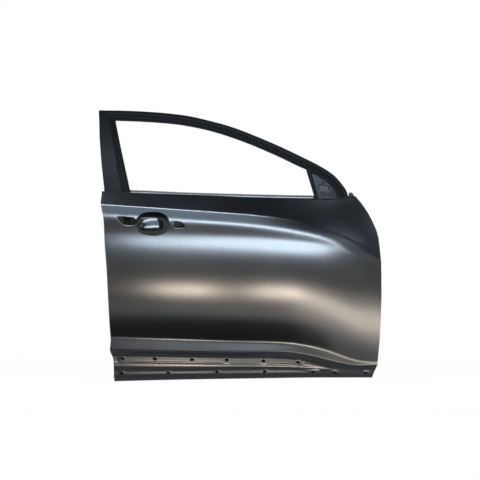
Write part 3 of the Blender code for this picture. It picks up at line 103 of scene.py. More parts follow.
# Each line of the pressing: its photograph rows at the stations, and its depths behind the belly as shares of
# the drop. They run from the belt down to the foot, and the depths draw where the reflections lie.
SKIN_STATIONS = [104, 150, 200, 250, 300, 330, 355, 381]
SKIN_LINES = [
    ([191.2, 193.2, 194.9, 197.0, 198.2, 198.2, 196.0, 194.0],
     [.650, .680, .715, .775, .857, .918, .980, 1.0]),
    ([205.0, 207.8, 211.1, 214.8, 222.5, 231.7, 242.3, 254.4],
     [.393, .384, .383, .398, .428, .444, .464, .510]),
    ([216.5, 219.0, 221.8, 225.8, 232.4, 241.0, 250.6, 262.0],
     [.296, .281, .276, .291, .327, .362, .398, .444]),
    ([227.5, 229.8, 232.0, 235.0, 240.6, 245.4, 254.0, 268.0],
     [.261, .243, .237, .251, .281, .334, .372, .418]),
    ([244.0, 245.3, 246.0, 247.0, 248.6, 250.6, 260.0, 275.0],
     [.178, .1565, .153, .173, .224, .299, .336, .380]),
    ([289.0, 290.6, 291.3, 291.6, 293.0, 300.0, 313.0, 325.0],
     [.033, .008, .000, .012, .051, .102, .158, .235]),
    ([317.0, 319.5, 322.0, 323.5, 326.0, 333.0, 344.0, 350.0],
     [.082, .061, .055, .065, .096, .135, .184, .255]),
    ([336.9, 338.2, 339.7, 341.2, 344.1, 351.5, 360.0, 362.8],
     [.165, .149, .145, .153, .167, .190, .229, .278]),
    ([349.4, 349.9, 350.9, 351.6, 353.5, 360.3, 364.8, 365.0],
     [.078, .062, .059, .069, .100, .139, .198, .262])]
SILL_STATIONS = [112, 170, 245, 297, 320, 335, 350, 376]
SILL_LINES = [
    ([354.3, 355.0, 356.2, 358.2, 362.8, 366.4, 368.3, 368.4],
     [.296, .296, .296, .304, .316, .326, .337, .357]),
    ([360.4, 361.4, 362.4, 364.2, 366.2, 367.8, 369.2, 369.4],
     [.2895, .2895, .2895, .304, .322, .332, .343, .360]),
    ([361.8, 362.8, 363.8, 365.5, 367.2, 368.7, 369.9, 370.2],
     [.268, .268, .268, .290, .320, .334, .345, .362]),
    ([368.0, 367.9, 367.1, 367.2, 368.4, 369.6, 370.8, 371.1],
     [.258, .258, .258, .284, .318, .335, .348, .365]),
    ([369.6, 369.3, 368.5, 368.6, 369.6, 370.5, 371.6, 371.9],
     [.308, .308, .308, .315, .326, .337, .350, .367]),
    ([375.3, 374.6, 373.8, 373.3, 373.3, 373.5, 373.9, 374.0],
     [.300, .300, .300, .312, .331, .343, .357, .370]),
    ([376.8, 376.0, 375.2, 374.6, 374.5, 374.6, 374.9, 375.0],
     [.337, .337, .337, .345, .353, .359, .366, .378]),
    ([380.9, 379.4, 378.1, 377.3, 377.1, 377.1, 377.1, 377.1],
     [.347, .347, .347, .354, .362, .368, .374, .384])]
LAST_LINE = len(SKIN_LINES) + len(SILL_LINES) - 1
SHOULDER_CREASE, SILL_CREASE = 1, 7
REAR_EDGE = [(102.2, 190.8), (101.7, 196.5), (101.0, 202.5), (101.9, 208.5), (103.2, 214.5),
             (104.1, 220.5), (104.7, 232.5), (105.2, 244.5), (107.2, 268.5), (108.7, 298.5),
             (110.0, 322.5), (111.3, 340.5), (110.4, 348.5), (110.9, 352.0), (113.6, 357.5),
             (114.2, 364.5), (114.3, 376.5), (114.9, 380.9)]
FRONT_EDGE = [(354.6, 195.2), (360.8, 202.5), (365.1, 208.5), (368.8, 214.5), (371.9, 220.5),
              (374.7, 226.5), (376.9, 232.5), (378.4, 238.5), (379.7, 250.5), (380.8, 262.5),
              (381.0, 274.0), (381.0, 298.5), (380.3, 316.5), (379.1, 340.5), (378.0, 352.5),
              (376.9, 364.5), (373.3, 372.5), (371.8, 377.1)]


def skin_lines_at(x):
    """Heights and depths of all the pressing's lines, one row per x."""
    heights, depths = [], []
    for stations, lines in ((SKIN_STATIONS, SKIN_LINES), (SILL_STATIONS, SILL_LINES)):
        for rows, shares in lines:
            heights.append(spline(across(stations), up(rows), x))
            depths.append(spline(across(stations), np.array(shares) * SKIN_DROP, x))
    return np.stack(heights, axis=1), np.stack(depths, axis=1)


def between_lines(z, heights, depths):
    """Depth at heights that lie between straight-sided lines, which run from high to low."""
    result = np.where(z >= heights[:, 0], depths[:, 0], depths[:, -1])
    for k in range(heights.shape[1] - 1):
        top, low = heights[:, k], heights[:, k + 1]
        here = (z <= top) & (z >= low)
        share = (top - z) / np.maximum(top - low, 1e-9)
        result = np.where(here, depths[:, k] + (depths[:, k + 1] - depths[:, k]) * share, result)
    return result


CREASE_RADIUS, SILL_CREASE_RADIUS, SILL_CREASE_REACH = 0.0024, 0.0092, 0.016
# A crease is rounded by averaging the depths over and under it: places in radii, and weights.
ROUNDING, ROUNDING_SUM = ((-1, 1), (-.5, 4), (0, 6), (.5, 4), (1, 1)), 16


def pressed_depth(x, z):
    """Depth of the skin behind its belly, with every crease rounded, the sill crease most."""
    x, z = np.asarray(x, float).ravel(), np.asarray(z, float).ravel()
    heights, depths = skin_lines_at(x)
    body_heights = heights[:, SILL_CREASE:SHOULDER_CREASE - 1:-1]
    body_depths = depths[:, SILL_CREASE:SHOULDER_CREASE - 1:-1]
    near_sill_crease = np.exp(-((z - heights[:, SILL_CREASE]) / SILL_CREASE_REACH) ** 4)
    radius = CREASE_RADIUS + (SILL_CREASE_RADIUS - CREASE_RADIUS) * near_sill_crease
    total = np.zeros(len(x))
    for step, weight in ROUNDING:
        level = z + step * radius
        straight = between_lines(level, heights, depths)
        body = spline(body_heights, body_depths, level)
        inside_body = (level < heights[:, SHOULDER_CREASE]) & (level > heights[:, SILL_CREASE])
        total += np.where(inside_body, body, straight) * weight / ROUNDING_SUM
    return total


CUP_MIDDLE, CUP_HALF, CUP_DEEPEST, CUP_DEPTH = (152.8, 223.85), (16.9, 12.1), (157.0, 218.4), 0.0270
CUP_SQUARENESS, CUP_RIM_CRISPNESS, CUP_RIM_POINTS = 2.3, 3, 420
# Each wall of the cup: the share of the depth it has climbed at the rim, and how late it turns up.
UPPER_WALL, LOWER_WALL, FRONT_WALL, REAR_WALL = (0.85, 2), (0.9, 2.1), (0.8, 2), (0.45, 1.6)


def climb(distance, share, power):
    """How far a wall of the cup has climbed, at a share of the way from the deepest place to the rim."""
    return share * distance ** power


def cup_depth(x, z):
    """Extra depth in the handle cup: a trough, deepest near its top and front, closed by a crisp rim."""
    u = (x - across(CUP_MIDDLE[0])) / (CUP_HALF[0] * LENGTH_PER_PX)
    v = (z - up(CUP_MIDDLE[1])) / (CUP_HALF[1] * HEIGHT_PER_PX)
    lift = (CUP_MIDDLE[1] - CUP_DEEPEST[1]) / CUP_HALF[1]
    peak = (CUP_DEEPEST[0] - CUP_MIDDLE[0]) / CUP_HALF[0]
    off_v, off_u = np.abs(v - lift), np.abs(u - peak)
    upright = np.where(v > lift, climb(off_v / (1 - lift), *UPPER_WALL),
                       climb(off_v / (1 + lift), *LOWER_WALL))
    along = np.where(u > peak, climb(off_u / (1 - peak), *FRONT_WALL),
                     climb(off_u / (1 + peak), *REAR_WALL))
    rim = np.clip(np.abs(u) ** CUP_SQUARENESS + np.abs(v) ** CUP_SQUARENESS, 0, 1)
    hollow = np.clip(1 - upright, 0, 1) * np.clip(1 - along, 0, 1)
    return CUP_DEPTH * hollow * (1 - rim ** CUP_RIM_CRISPNESS)


# The two raised strips that the sill trim clips to: first and last column, and the lines they lie between.
LANDS = [(119.0, 303.2, 9, 10), (119.0, 319.0, 13, 14)]
LAND_RISE, LAND_EDGE, LAND_MARGIN = 0.0011, 0.0016, 0.0020


def land_rise(x, z):
    """Height of the raised strips over the sill's recess."""
    x, z = np.asarray(x, float).ravel(), np.asarray(z, float).ravel()
    heights = skin_lines_at(x)[0]
    rise = np.zeros(len(x))
    for first, last, top, low in LANDS:
        inside = np.minimum.reduce([x - across(first), across(last) - x, heights[:, top] - z + LAND_MARGIN,
                                    z - heights[:, low] + LAND_MARGIN])
        rise = np.maximum(rise, np.clip(inside / LAND_EDGE, 0, 1))
    return rise * LAND_RISE


def skin_depth(x, z):
    """Depth of the finished skin behind its belly."""
    return pressed_depth(x, z) + cup_depth(x, z) - land_rise(x, z)


def in_world(x, z, depth):
    """Points at a depth behind the belly, as rows of x, y and z."""
    return np.column_stack([np.ravel(x), np.ravel(depth) + outermost, np.ravel(z)])


def edge_at(points, z):
    """Place along the door of one of its upright edges at a height."""
    px, py = np.array(points).T
    return np.interp(z, up(py)[::-1], across(px)[::-1])


def skin_row(share, upper, fraction):
    """Places along one mesh row, a fraction of the way from one of the pressing's lines to the next."""
    lower = min(upper + 1, LAST_LINE)
    x = across(REAR_PX) + share * DOOR_LENGTH
    # A row's heights and its ends depend on each other; a few rounds settle both.
    for _ in range(8):
        heights = skin_lines_at(x)[0]
        z = heights[:, upper] * (1 - fraction) + heights[:, lower] * fraction
        x = edge_at(REAR_EDGE, z) * (1 - share) + edge_at(FRONT_EDGE, z) * share
    return np.column_stack([x, z])


shares = np.linspace(0, 1, round(DOOR_LENGTH / SKIN_GRID) + 1)
skin_rows = []
middle_heights = skin_lines_at(np.zeros(1))[0][0]
for line in range(LAST_LINE):
    steps = max(2, round((middle_heights[line] - middle_heights[line + 1]) / SKIN_GRID))
    skin_rows += [skin_row(shares, line, k / steps) for k in range(steps)]
skin_rows.append(skin_row(shares, LAST_LINE, 0))
skin_grid = np.stack(skin_rows)


def rounded_box(px, py, length, height, corner, steps=4):
    """Outline of a hole with round corners, as (x, z) points."""
    points = []
    for turn, (sx, sz) in enumerate(((1, 1), (-1, 1), (-1, -1), (1, -1))):
        for k in range(steps + 1):
            angle = math.pi / 2 * (turn + k / steps)
            points.append((across(px) + sx * (length / 2 - corner) + corner * math.cos(angle),
                           up(py) + sz * (height / 2 - corner) + corner * math.sin(angle)))
    return np.array(points)


def resampled(points, step):
    """Closed outline with points at even steps."""
    ring = np.vstack([points, points[:1]])
    run = np.concatenate([[0], np.cumsum(np.linalg.norm(np.diff(ring, axis=0), axis=1))])
    places = np.linspace(0, run[-1], round(run[-1] / step), endpoint=False)
    return np.column_stack([np.interp(places, run, ring[:, k]) for k in (0, 1)])


def smooth_outline(points_px, step):
    """Closed round-cornered outline through photograph points, running anticlockwise."""
    ring = np.column_stack([across([p[0] for p in points_px]), up([p[1] for p in points_px])])
    # Each round cuts every corner off at a quarter of its sides.
    for _ in range(3):
        after = np.roll(ring, -1, axis=0)
        ring = np.stack([ring * .75 + after * .25, ring * .25 + after * .75], axis=1).reshape(-1, 2)
    ring = resampled(ring, step)
    area = (ring[:, 0] * np.roll(ring[:, 1], -1) - np.roll(ring[:, 0], -1) * ring[:, 1]).sum()
    return ring if area > 0 else ring[::-1]


def superellipse(middle_px, half_px, squareness, count):
    """Closed outline of a rounded oval at photograph coordinates."""
    turn = np.linspace(0, 2 * math.pi, count, endpoint=False)
    u, v = (np.sign(s) * np.abs(s) ** (2 / squareness) for s in (np.cos(turn), np.sin(turn)))
    return np.column_stack([across(middle_px[0] + half_px[0] * u), up(middle_px[1] - half_px[1] * v)])


def widened(outline, distance):
    """Closed outline moved outwards."""
    ahead, behind = np.roll(outline, -1, axis=0), np.roll(outline, 1, axis=0)
    along = ahead - behind
    out = np.column_stack([along[:, 1], -along[:, 0]])
    return outline + out / np.linalg.norm(out, axis=1)[:, None] * distance


def within(points, outline):
    """Whether each point lies inside a closed outline."""
    hit = np.zeros(len(points), bool)
    for (ax, az), (bx, bz) in zip(outline, np.roll(outline, -1, axis=0)):
        crosses = (az > points[:, 1]) != (bz > points[:, 1])
        if crosses.any():
            cut = (bx - ax) * (points[:, 1] - az) / (bz - az if bz != az else 1) + ax
            hit ^= crosses & (points[:, 0] < cut)
    return hit


CLIP_HOLES = [(122.9, 357.8), (155.4, 358.2), (192.4, 358.9), (227.0, 359.5), (263.6, 360.3), (298.1, 361.5),
              (122.5, 372.8), (168.7, 372.1), (217.1, 371.3), (264.8, 370.9), (312.4, 371.2), (334.3, 371.9),
              (365.9, 372.4)]
CLIP_HOLE = (0.0148, 0.0100, 0.0028)
LOCK_HOLE = [(116.6, 216.8), (121.5, 216.4), (128, 217.2), (136.2, 218.0), (136.2, 225.3), (128, 225.6),
             (123, 224.6), (119.5, 220.8)]
PIVOT_HOLE = [(171.0, 221.6), (176, 221.0), (181.5, 222.2), (185.8, 225.6), (184.0, 227.9), (178, 228.2),
              (171.0, 227.8)]
HOLE_STEP = 0.0018
# How wide the pressed seat round a hole is, and how deep it sinks, where a minus is a rise. The front two
# clip holes of the lower row stand on bosses.
PLAIN_SEAT, BOSS_SEAT, HANDLE_SEAT = (0.0016, -0.0002), (0.0060, -0.0016), (0.0014, 0.0005)
BOSSES = 2
skin_holes = [(rounded_box(px, py, *CLIP_HOLE), *PLAIN_SEAT) for px, py in CLIP_HOLES[:-BOSSES]]
skin_holes += [(rounded_box(px, py, *CLIP_HOLE), *BOSS_SEAT) for px, py in CLIP_HOLES[-BOSSES:]]
skin_holes += [(smooth_outline(points, HOLE_STEP), *HANDLE_SEAT) for points in (LOCK_HOLE, PIVOT_HOLE)]
cup_rim = superellipse(CUP_MIDDLE, CUP_HALF, CUP_SQUARENESS, CUP_RIM_POINTS)

# How the mesh is laid round the holes and the cup's rim: even rings first, and free points clear of them.
PATCH_MARGIN, PATCH_SHRINK, FINE_GRID = 0.0070, 0.985, 0.0021
SEAT_RING, SEAT_CLEARANCE, FINE_CLEARANCE = 0.0009, 0.0022, 0.0019
RECESS_RINGS, RECESS_SEAT, RECESS_CLEARANCE = (0.0008, 0.0, -0.0009), 0.0010, 0.0024


def recess_points(edge_ring, recesses, holes):
    """Fine mesh points for a patch with recesses in it, clear of the patch's edge and of its holes."""
    (x0, z0), (x1, z1) = edge_ring.min(axis=0), edge_ring.max(axis=0)
    dense = np.stack(np.meshgrid(np.arange(x0, x1, FINE_GRID), np.arange(z0, z1, FINE_GRID)), axis=-1)
    dense = dense.reshape(-1, 2)
    middle = edge_ring.mean(axis=0)
    dense = dense[within(dense, middle + (edge_ring - middle) * PATCH_SHRINK)]
    for rim in recesses:
        outside = ~within(dense, widened(rim, RECESS_CLEARANCE))
        inside = within(dense, widened(rim, -RECESS_CLEARANCE))
        dense = np.vstack([dense[outside | inside]] + [widened(rim, reach) for reach in RECESS_RINGS])
    for outline, seat, _ in holes:
        dense = dense[~within(dense, widened(outline, seat + FINE_CLEARANCE))]
    return dense


def merged_patches(grid, holes):
    """Blocks of grid cells, each with the holes that lie in it; blocks that touch are joined."""
    merged = []
    for outline, seat, sink in holes:
        low = outline.min(axis=0) - seat - PATCH_MARGIN
        high = outline.max(axis=0) + seat + PATCH_MARGIN
        r, c = np.nonzero(((grid > low) & (grid < high)).all(axis=2))
        patch = [r.min(), r.max(), c.min(), c.max(), [(outline, seat, sink)]]
        for other in merged:
            rows_meet = patch[0] <= other[1] + 1 and other[0] <= patch[1] + 1
            if rows_meet and patch[2] <= other[3] + 1 and other[2] <= patch[3] + 1:
                other[0], other[1] = min(other[0], patch[0]), max(other[1], patch[1])
                other[2], other[3] = min(other[2], patch[2]), max(other[3], patch[3])
                other[4] += patch[4]
                break
        else:
            merged.append(patch)
    return merged


def cut_sheet(grid, holes, recesses, depth_of):
    """Vertices and faces of a grid of (x, z) rows with its holes cut out cleanly, and each hole's rim.

    The mesh is finer round a recess, and follows its outline.
    """
    rows, columns = grid.shape[:2]
    flat = grid.reshape(-1, 2)
    points = [tuple(p) for p in flat]
    extra_depth = [0.0] * len(points)
    whole = np.arange(rows * columns).reshape(rows, columns)
    open_cells = np.ones((rows - 1, columns - 1), bool)
    faces, rims = [], []
    marked = [(outline, RECESS_SEAT, None) for outline in recesses]
    for r0, r1, c0, c1, own in merged_patches(grid, holes + marked):
        open_cells[r0:r1, c0:c1] = False
        index = whole[r0:r1 + 1, c0:c1 + 1]
        border = list(index[0]) + list(index[1:, -1]) + list(index[-1, -2::-1]) + list(index[-2:0:-1, 0])
        own_recesses = [outline for outline, _, sink in own if sink is None]
        own = [entry for entry in own if entry[2] is not None]
        if own_recesses:
            dense = recess_points(flat[border], own_recesses, own)
            keep = np.arange(len(points), len(points) + len(dense))
            points += [tuple(p) for p in dense]
            extra_depth += [0.0] * len(dense)
        else:
            keep = index[1:-1, 1:-1].ravel()
            for outline, seat, _ in own:
                keep = keep[~within(flat[keep], widened(outline, seat + SEAT_CLEARANCE))]
        local = [int(k) for k in border] + [int(k) for k in keep]
        edges = [(k, (k + 1) % len(border)) for k in range(len(border))]
        for outline, seat, sink in own:
            seat_rings = ((0, sink), (seat * .5, sink * .8), (seat, 0), (seat + SEAT_RING, 0))
            for reach, drop in seat_rings:
                first = len(local)
                ring = widened(outline, reach) if reach else outline
                local += range(len(points), len(points) + len(ring))
                points += [tuple(p) for p in ring]
                extra_depth += [drop] * len(ring)
                edges += [(first + k, first + (k + 1) % len(ring)) for k in range(len(ring))]
                if not reach:
                    rims.append(local[first:])
        flat_points = [Vector(points[k]) for k in local]
        _, _, triangles, source, _, _ = delaunay_2d_cdt(flat_points, edges, [], 0, 1e-9, True)
        place = [local[s[0]] if s else -1 for s in source]
        corners = np.array([[place[k] for k in triangle] for triangle in triangles])
        middles = np.array(points)[corners].mean(axis=1)
        solid = corners.min(axis=1) >= 0
        for outline, _, _ in own:
            solid &= ~within(middles, outline)
        faces += [tuple(map(int, triangle)) for triangle in corners[solid]]
    for r, c in zip(*np.nonzero(open_cells)):
        upper, lower = int(r * columns + c), int((r + 1) * columns + c)
        faces.append((upper, lower, lower + 1, upper + 1))
    spots = np.array(points)
    depth = depth_of(spots[:, 0], spots[:, 1]) + np.array(extra_depth)
    return in_world(spots[:, 0], spots[:, 1], depth), faces, rims


verts, faces, rims = cut_sheet(skin_grid, skin_holes, [cup_rim], skin_depth)
rows, columns = skin_grid.shape[:2]
border = ([r * columns for r in range(rows)] + [(rows - 1) * columns + c for c in range(1, columns)]
          + [r * columns + columns - 1 for r in range(rows - 2, -1, -1)] + list(range(columns - 2, 0, -1)))
# The hem: the edge steps inwards a little, rolls round and comes back on the cabin side. Each pair is how far
# out and how far back the sheet runs.
HEM_THICKNESS, HEM_STEP, EDGE_PULL, HOLE_WALL = 0.0042, 0.0004, 0.0006, 0.0014
HEM_PATH = [(0.0000, 0.0004), (0.0004, 0.0015), (0.0004, 0.0028), (-0.0003, 0.0038), (-0.0012, HEM_THICKNESS),
            (-0.0078, HEM_THICKNESS)]
edge = verts[border][:, [0, 2]]
along = np.roll(edge, -1, axis=0) - np.roll(edge, 1, axis=0)
outwards = np.column_stack([along[:, 1], -along[:, 0]])
outwards /= np.linalg.norm(outwards, axis=1)[:, None]
edge_depth = verts[border][:, 1]
verts[border, 0] -= outwards[:, 0] * EDGE_PULL
verts[border, 2] -= outwards[:, 1] * EDGE_PULL
loops = [border]
for out, back in HEM_PATH:
    shifted = edge + outwards * (out - HEM_STEP)
    loops.append(list(range(len(verts), len(verts) + len(border))))
    verts = np.vstack([verts, np.column_stack([shifted[:, 0], edge_depth + back, shifted[:, 1]])])
for near, far in zip(loops, loops[1:]):
    for k in range(len(border)):
        j = (k + 1) % len(border)
        faces.append((near[k], near[j], far[j], far[k]))
for rim in rims:
    wall = list(range(len(verts), len(verts) + len(rim)))
    verts = np.vstack([verts, verts[rim] + [0, HOLE_WALL, 0]])
    for k in range(len(rim)):
        j = (k + 1) % len(rim)
        faces.append((rim[k], rim[j], wall[j], wall[k]))


def new_piece(name, verts, faces, sharp_deg=50):
    """Links a mesh with consistent normals as a piece of the door."""
    mesh = bpy.data.meshes.new(name)
    mesh.from_pydata([tuple(v) for v in verts], [], faces)
    bm = bmesh.new()
    bm.from_mesh(mesh)
    bmesh.ops.recalc_face_normals(bm, faces=bm.faces)
    bm.to_mesh(mesh)
    bm.free()
    mesh.shade_smooth()
    mesh.set_sharp_from_angle(angle=math.radians(sharp_deg))
    piece = bpy.data.objects.new(name, mesh)
    bpy.context.scene.collection.objects.link(piece)
    return piece


def srgb(hex_colour):
    """Linear colour of an sRGB hex value."""
    parts = [int(hex_colour[i:i + 2], 16) / 255 for i in (1, 3, 5)]
    return tuple(c / 12.92 if c <= 0.04045 else ((c + 0.055) / 1.055) ** 2.4 for c in parts) + (1.0,)


def add_node(material, kind, settings=(), links=()):
    """Adds one node, with its settings and the links to its inputs."""
    node = material.node_tree.nodes.new(kind)
    for key, value in dict(settings).items():
        if isinstance(key, str) and hasattr(node, key):
            setattr(node, key, value)
        else:
            node.inputs[key].default_value = value
    for key, socket in dict(links).items():
        material.node_tree.links.new(socket, node.inputs[key])
    return node


CLOUD_SIZE, ROUGHNESS_SPREAD = 0.160, 0.008


def primer(name, light, dark, roughness, peel_mm, peel_strength, gloss):
    """Baked electro-coat: a thin satin film that flows out smooth, with faint orange peel and cloudiness."""
    material = bpy.data.materials.new(name)
    material.use_nodes = True
    shader = material.node_tree.nodes["Principled BSDF"]
    where = add_node(material, "ShaderNodeTexCoord").outputs["Object"]
    cloud = add_node(material, "ShaderNodeTexNoise",
                     {"Scale": 1 / CLOUD_SIZE, "Detail": 1.0, "Roughness": 0.4}, {"Vector": where})
    film = add_node(material, "ShaderNodeMix", {"data_type": "RGBA", 6: srgb(dark), 7: srgb(light)},
                    {"Factor": cloud.outputs["Fac"]})
    material.node_tree.links.new(film.outputs[2], shader.inputs["Base Color"])
    sheen = add_node(material, "ShaderNodeMapRange",
                     {"From Min": 0.3, "From Max": 0.7,
                      "To Min": roughness - ROUGHNESS_SPREAD, "To Max": roughness + ROUGHNESS_SPREAD},
                     {"Value": cloud.outputs["Fac"]})
    material.node_tree.links.new(sheen.outputs["Result"], shader.inputs["Roughness"])
    peel = add_node(material, "ShaderNodeTexNoise", {"Scale": 1000 / peel_mm, "Detail": 2.0},
                    {"Vector": where})
    bump = add_node(material, "ShaderNodeBump", {"Strength": peel_strength, "Distance": 0.0001},
                    {"Height": peel.outputs["Fac"]})
    material.node_tree.links.new(bump.outputs["Normal"], shader.inputs["Normal"])
    shader.inputs["Specular IOR Level"].default_value = gloss
    return material


# Cathodic electro-coat over smooth cold-rolled sheet: deep black with a satin gloss.
skin_primer = primer("satin_black_ecoat_outer_sheet", "#0b0c0d", "#09090a", 0.165, 3.0, 0.012, 0.40)
outer_panel = new_piece("outer_panel_skin", verts, faces)
outer_panel.data.materials.append(skin_primer)
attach(outer_panel, "root")
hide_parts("outer_panel")

# Window frame
# Header, rear upright and glass channel are roll-formed from 1.2 to 1.4 mm strip. Two running grooves
# stiffen the first two and hold the seals; they are mitred and welded at the rear top corner.
FRAME_STEP, FRAME_DEPTH, GROOVE, LEAN_DEG, BARREL = 0.0080, 0.0280, 0.0034, 14.0, 1.71
HEADER = [((98.1, 109.7), (115.2, 120.4)), ((116, 109.9), (117.4, 120.5)),
          ((136, 110.5), (135.5, 121.1)), ((156, 111.7), (155, 122.2)),
          ((176.5, 113.7), (175, 124.0)), ((192.5, 116.2), (190.5, 126.4)),
          ((208.5, 120.0), (206, 129.7)), ((224.5, 124.2), (221.5, 134.0)),
          ((240.5, 129.6), (236.8, 139.2)), ((256.5, 136.0), (252.5, 145.2)),
          ((272.5, 142.8), (268.3, 152.0)), ((288.5, 150.1), (284.1, 159.2)),
          ((304.5, 157.9), (300.2, 167.0)), ((315.2, 163.2), (311.0, 171.4)),
          ((322.4, 167.2), (317.6, 174.4)), ((329.5, 171.7), (323.6, 178.2)),
          ((336.5, 177.5), (329.6, 183.2)), ((342.3, 184.5), (334.4, 189.4)),
          ((347.4, 193.0), (338.0, 196.0)), ((348.2, 198.6), (339.2, 200.0))]
SASH = [((98.1, 109.7), (115.2, 120.4)), ((98.9, 128), (116.6, 128)),
        ((99.4, 140), (119.1, 140)), ((100.1, 148.5), (120.9, 148.5)),
        ((101.1, 160.5), (123.6, 160.5)), ((102.4, 172.5), (126.2, 172.5)),
        ((103.8, 184.5), (128.9, 184.5)), ((104.3, 189.2), (129.8, 189.2)),
        ((104.4, 192.2), (130.4, 192.2))]
POST = [((310.7, 170.6), (305.9, 168.9)), ((312.9, 178), (308.6, 178)),
        ((315.1, 186), (311.0, 186)), ((317.6, 195), (313.7, 195)),
        ((319.2, 200), (315.2, 200)), ((325.4, 220), (321.4, 220)),
        ((337.0, 258), (333.0, 258))]


def frame_depth(x, z):
    """Depth of the frame's outer face: it leans in and curves as the glass does."""
    heights, depths = skin_lines_at(np.atleast_1d(x))
    rise = z - heights[:, 0]
    return depths[:, 0] + FRAME_STEP + math.tan(math.radians(LEAN_DEG)) * rise + rise ** 2 / (2 * BARREL)


BEND_REACH, LONGEST_BEND = 0.0024, 0.45


def softened(profile):
    """Open profile with each bend turned into a short arc, which takes less than half of either side."""
    points = [np.array(p, float) for p in profile]
    result = [points[0]]
    for before, corner, after in zip(points, points[1:], points[2:]):
        sides = [np.linalg.norm(p - corner) for p in (before, after)]
        reach = [min(BEND_REACH, side * LONGEST_BEND) / max(side, 1e-9) for side in sides]
        start, end = corner + (before - corner) * reach[0], corner + (after - corner) * reach[1]
        result += [start * (1 - t) ** 2 + corner * 2 * t * (1 - t) + end * t ** 2
                   for t in (0, .25, .5, .75, 1)]
    return result + [points[-1]]


def skirt_faces(rings, size):
    """Faces between rings of so many points each."""
    return [(k * size + i, k * size + (i + 1) % size, (k + 1) * size + (i + 1) % size, (k + 1) * size + i)
            for k in range(rings - 1) for i in range(size)]


def rolled(stations, profile, count, sheet):
    """Vertices and faces of a roll-formed strip: its section follows the stations from end to end."""
    outer, inner = (np.array([s[k] for s in stations]) for k in (0, 1))
    run = np.concatenate([[0], np.cumsum(np.linalg.norm(np.diff((outer + inner) / 2, axis=0), axis=1))])
    places = np.unique(np.concatenate([np.linspace(0, run[-1], count), run]))
    sides = [np.column_stack([spline(run, side[:, k], places) for k in (0, 1)]) for side in (outer, inner)]
    rings = []
    for a_px, b_px in zip(*sides):
        a = np.array([across(a_px[0]), up(a_px[1])])
        b = np.array([across(b_px[0]), up(b_px[1])])
        width = np.linalg.norm(b - a)
        line = np.array(softened([(s * width, d) for s, d in profile]))
        along = np.gradient(line, axis=0)
        left = np.column_stack([-along[:, 1], along[:, 0]])
        left /= np.linalg.norm(left, axis=1)[:, None]
        ring = np.vstack([line, (line + left * sheet)[::-1]])
        spots = a + (b - a) * (ring[:, :1] / width)
        rings.append(in_world(spots[:, 0], spots[:, 1], frame_depth(spots[:, 0], spots[:, 1]) + ring[:, 1]))
    size = len(rings[0])
    faces = skirt_faces(len(rings), size)
    for base in (0, (len(rings) - 1) * size):
        faces += [(base + i, base + i + 1, base + size - 2 - i, base + size - 1 - i)
                  for i in range(size // 2 - 1)]
    return np.vstack(rings), faces


# Sections, from the outer edge inwards: share of the width, and depth in grooves or in metres.
HEADER_FACE = [(0, .3), (.03, 0), (.36, 0), (.40, 1), (.49, 1), (.52, .2), (.62, .2), (.66, 1), (.76, 1),
               (.80, .2), (.93, .2), (1, .5)]
SASH_FACE = [(0, .3), (.03, 0), (.68, 0), (.71, 1), (.77, 1), (.80, .2), (.86, .2), (.89, 1), (.94, 1),
             (.96, .2), (1, .5)]


def frame_section(face, outer_depth, inner_end):
    """A grooved face with a short wall on its outer side and the seal's channel on its inner side."""
    return ([(.02, outer_depth)] + [(s, d * GROOVE) for s, d in face]
            + [(1, FRAME_DEPTH), (inner_end, FRAME_DEPTH)])


header_section = frame_section(HEADER_FACE, 0.0180, .55)
sash_section = frame_section(SASH_FACE, 0.0140, .52)
CHANNEL_DEPTH, CHANNEL_BEND = 0.0180, 0.0012
channel_section = [(1, CHANNEL_DEPTH), (.12, CHANNEL_DEPTH), (0, CHANNEL_DEPTH - CHANNEL_BEND),
                   (0, CHANNEL_BEND), (.12, 0), (1, 0)]
FRAME_SHEET, CHANNEL_SHEET = 0.0014, 0.0012

# The same primer over rolled strip: rougher and with little gloss, so the frame shows only dull greys.
frame_primer = primer("satin_black_ecoat_rolled_strip", "#0e0f10", "#0b0c0d", 0.32, 2.5, 0.0, 0.04)
for name, stations, section, count, node, sheet in (
        ("header_rail_rolled", HEADER, header_section, 150, "header_rail", FRAME_SHEET),
        ("rear_upright_rolled", SASH, sash_section, 60, "b_pillar_sash", FRAME_SHEET),
        ("glass_channel_rolled", POST, channel_section, 60, "front_post", CHANNEL_SHEET)):
    piece = new_piece(name, *rolled(stations, section, count, sheet), sharp_deg=40)
    piece.data.materials.append(frame_primer)
    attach(piece, "root")
    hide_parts(node)

# Mirror corner
# A pressed plate closes the corner between header and glass channel. Its pad, rib and slot seat the mirror's
# foot, and its three holes end in blind weld nuts.
GUSSET_STEP, GUSSET_SHEET, GUSSET_TUCK = 0.0070, 0.0014, 0.0018
MIRROR_HOLES = [(322.7, 183.2), (322.2, 193.4), (331.6, 191.6)]
# Left, right, top and lower edge of each raised or sunk form, in photograph pixels.
PAD, RIB, SLOT = (318.4, 328.6, 184.5, 190.2), (327.2, 336.2, 195.6, 198.2), (323.2, 336.0, 193.7, 194.9)
PAD_RISE, PAD_SLOPE, PAD_REACH, RIB_RISE, SLOT_SINK = 0.0012, 0.21, 6, 0.0028, 0.0030
# The pad's left edge leans and its upper edge falls, both turning about its upper left corner.
PAD_LEAN, PAD_FALL, PAD_CORNER = 0.12, 0.22, (319, 184)
PATCH_SOFT, SLOT_SOFT = 0.7, 0.5
LIP_RISE, LIP_MIDDLE, LIP_HALF = 0.0034, 1.1, 0.8
# The header's last stations and the channel's first ones bound the plate.
header_side = [inner for _, inner in HEADER[13:]]
gusset_edge = header_side + [outer for outer, _ in POST[:5]][::-1]


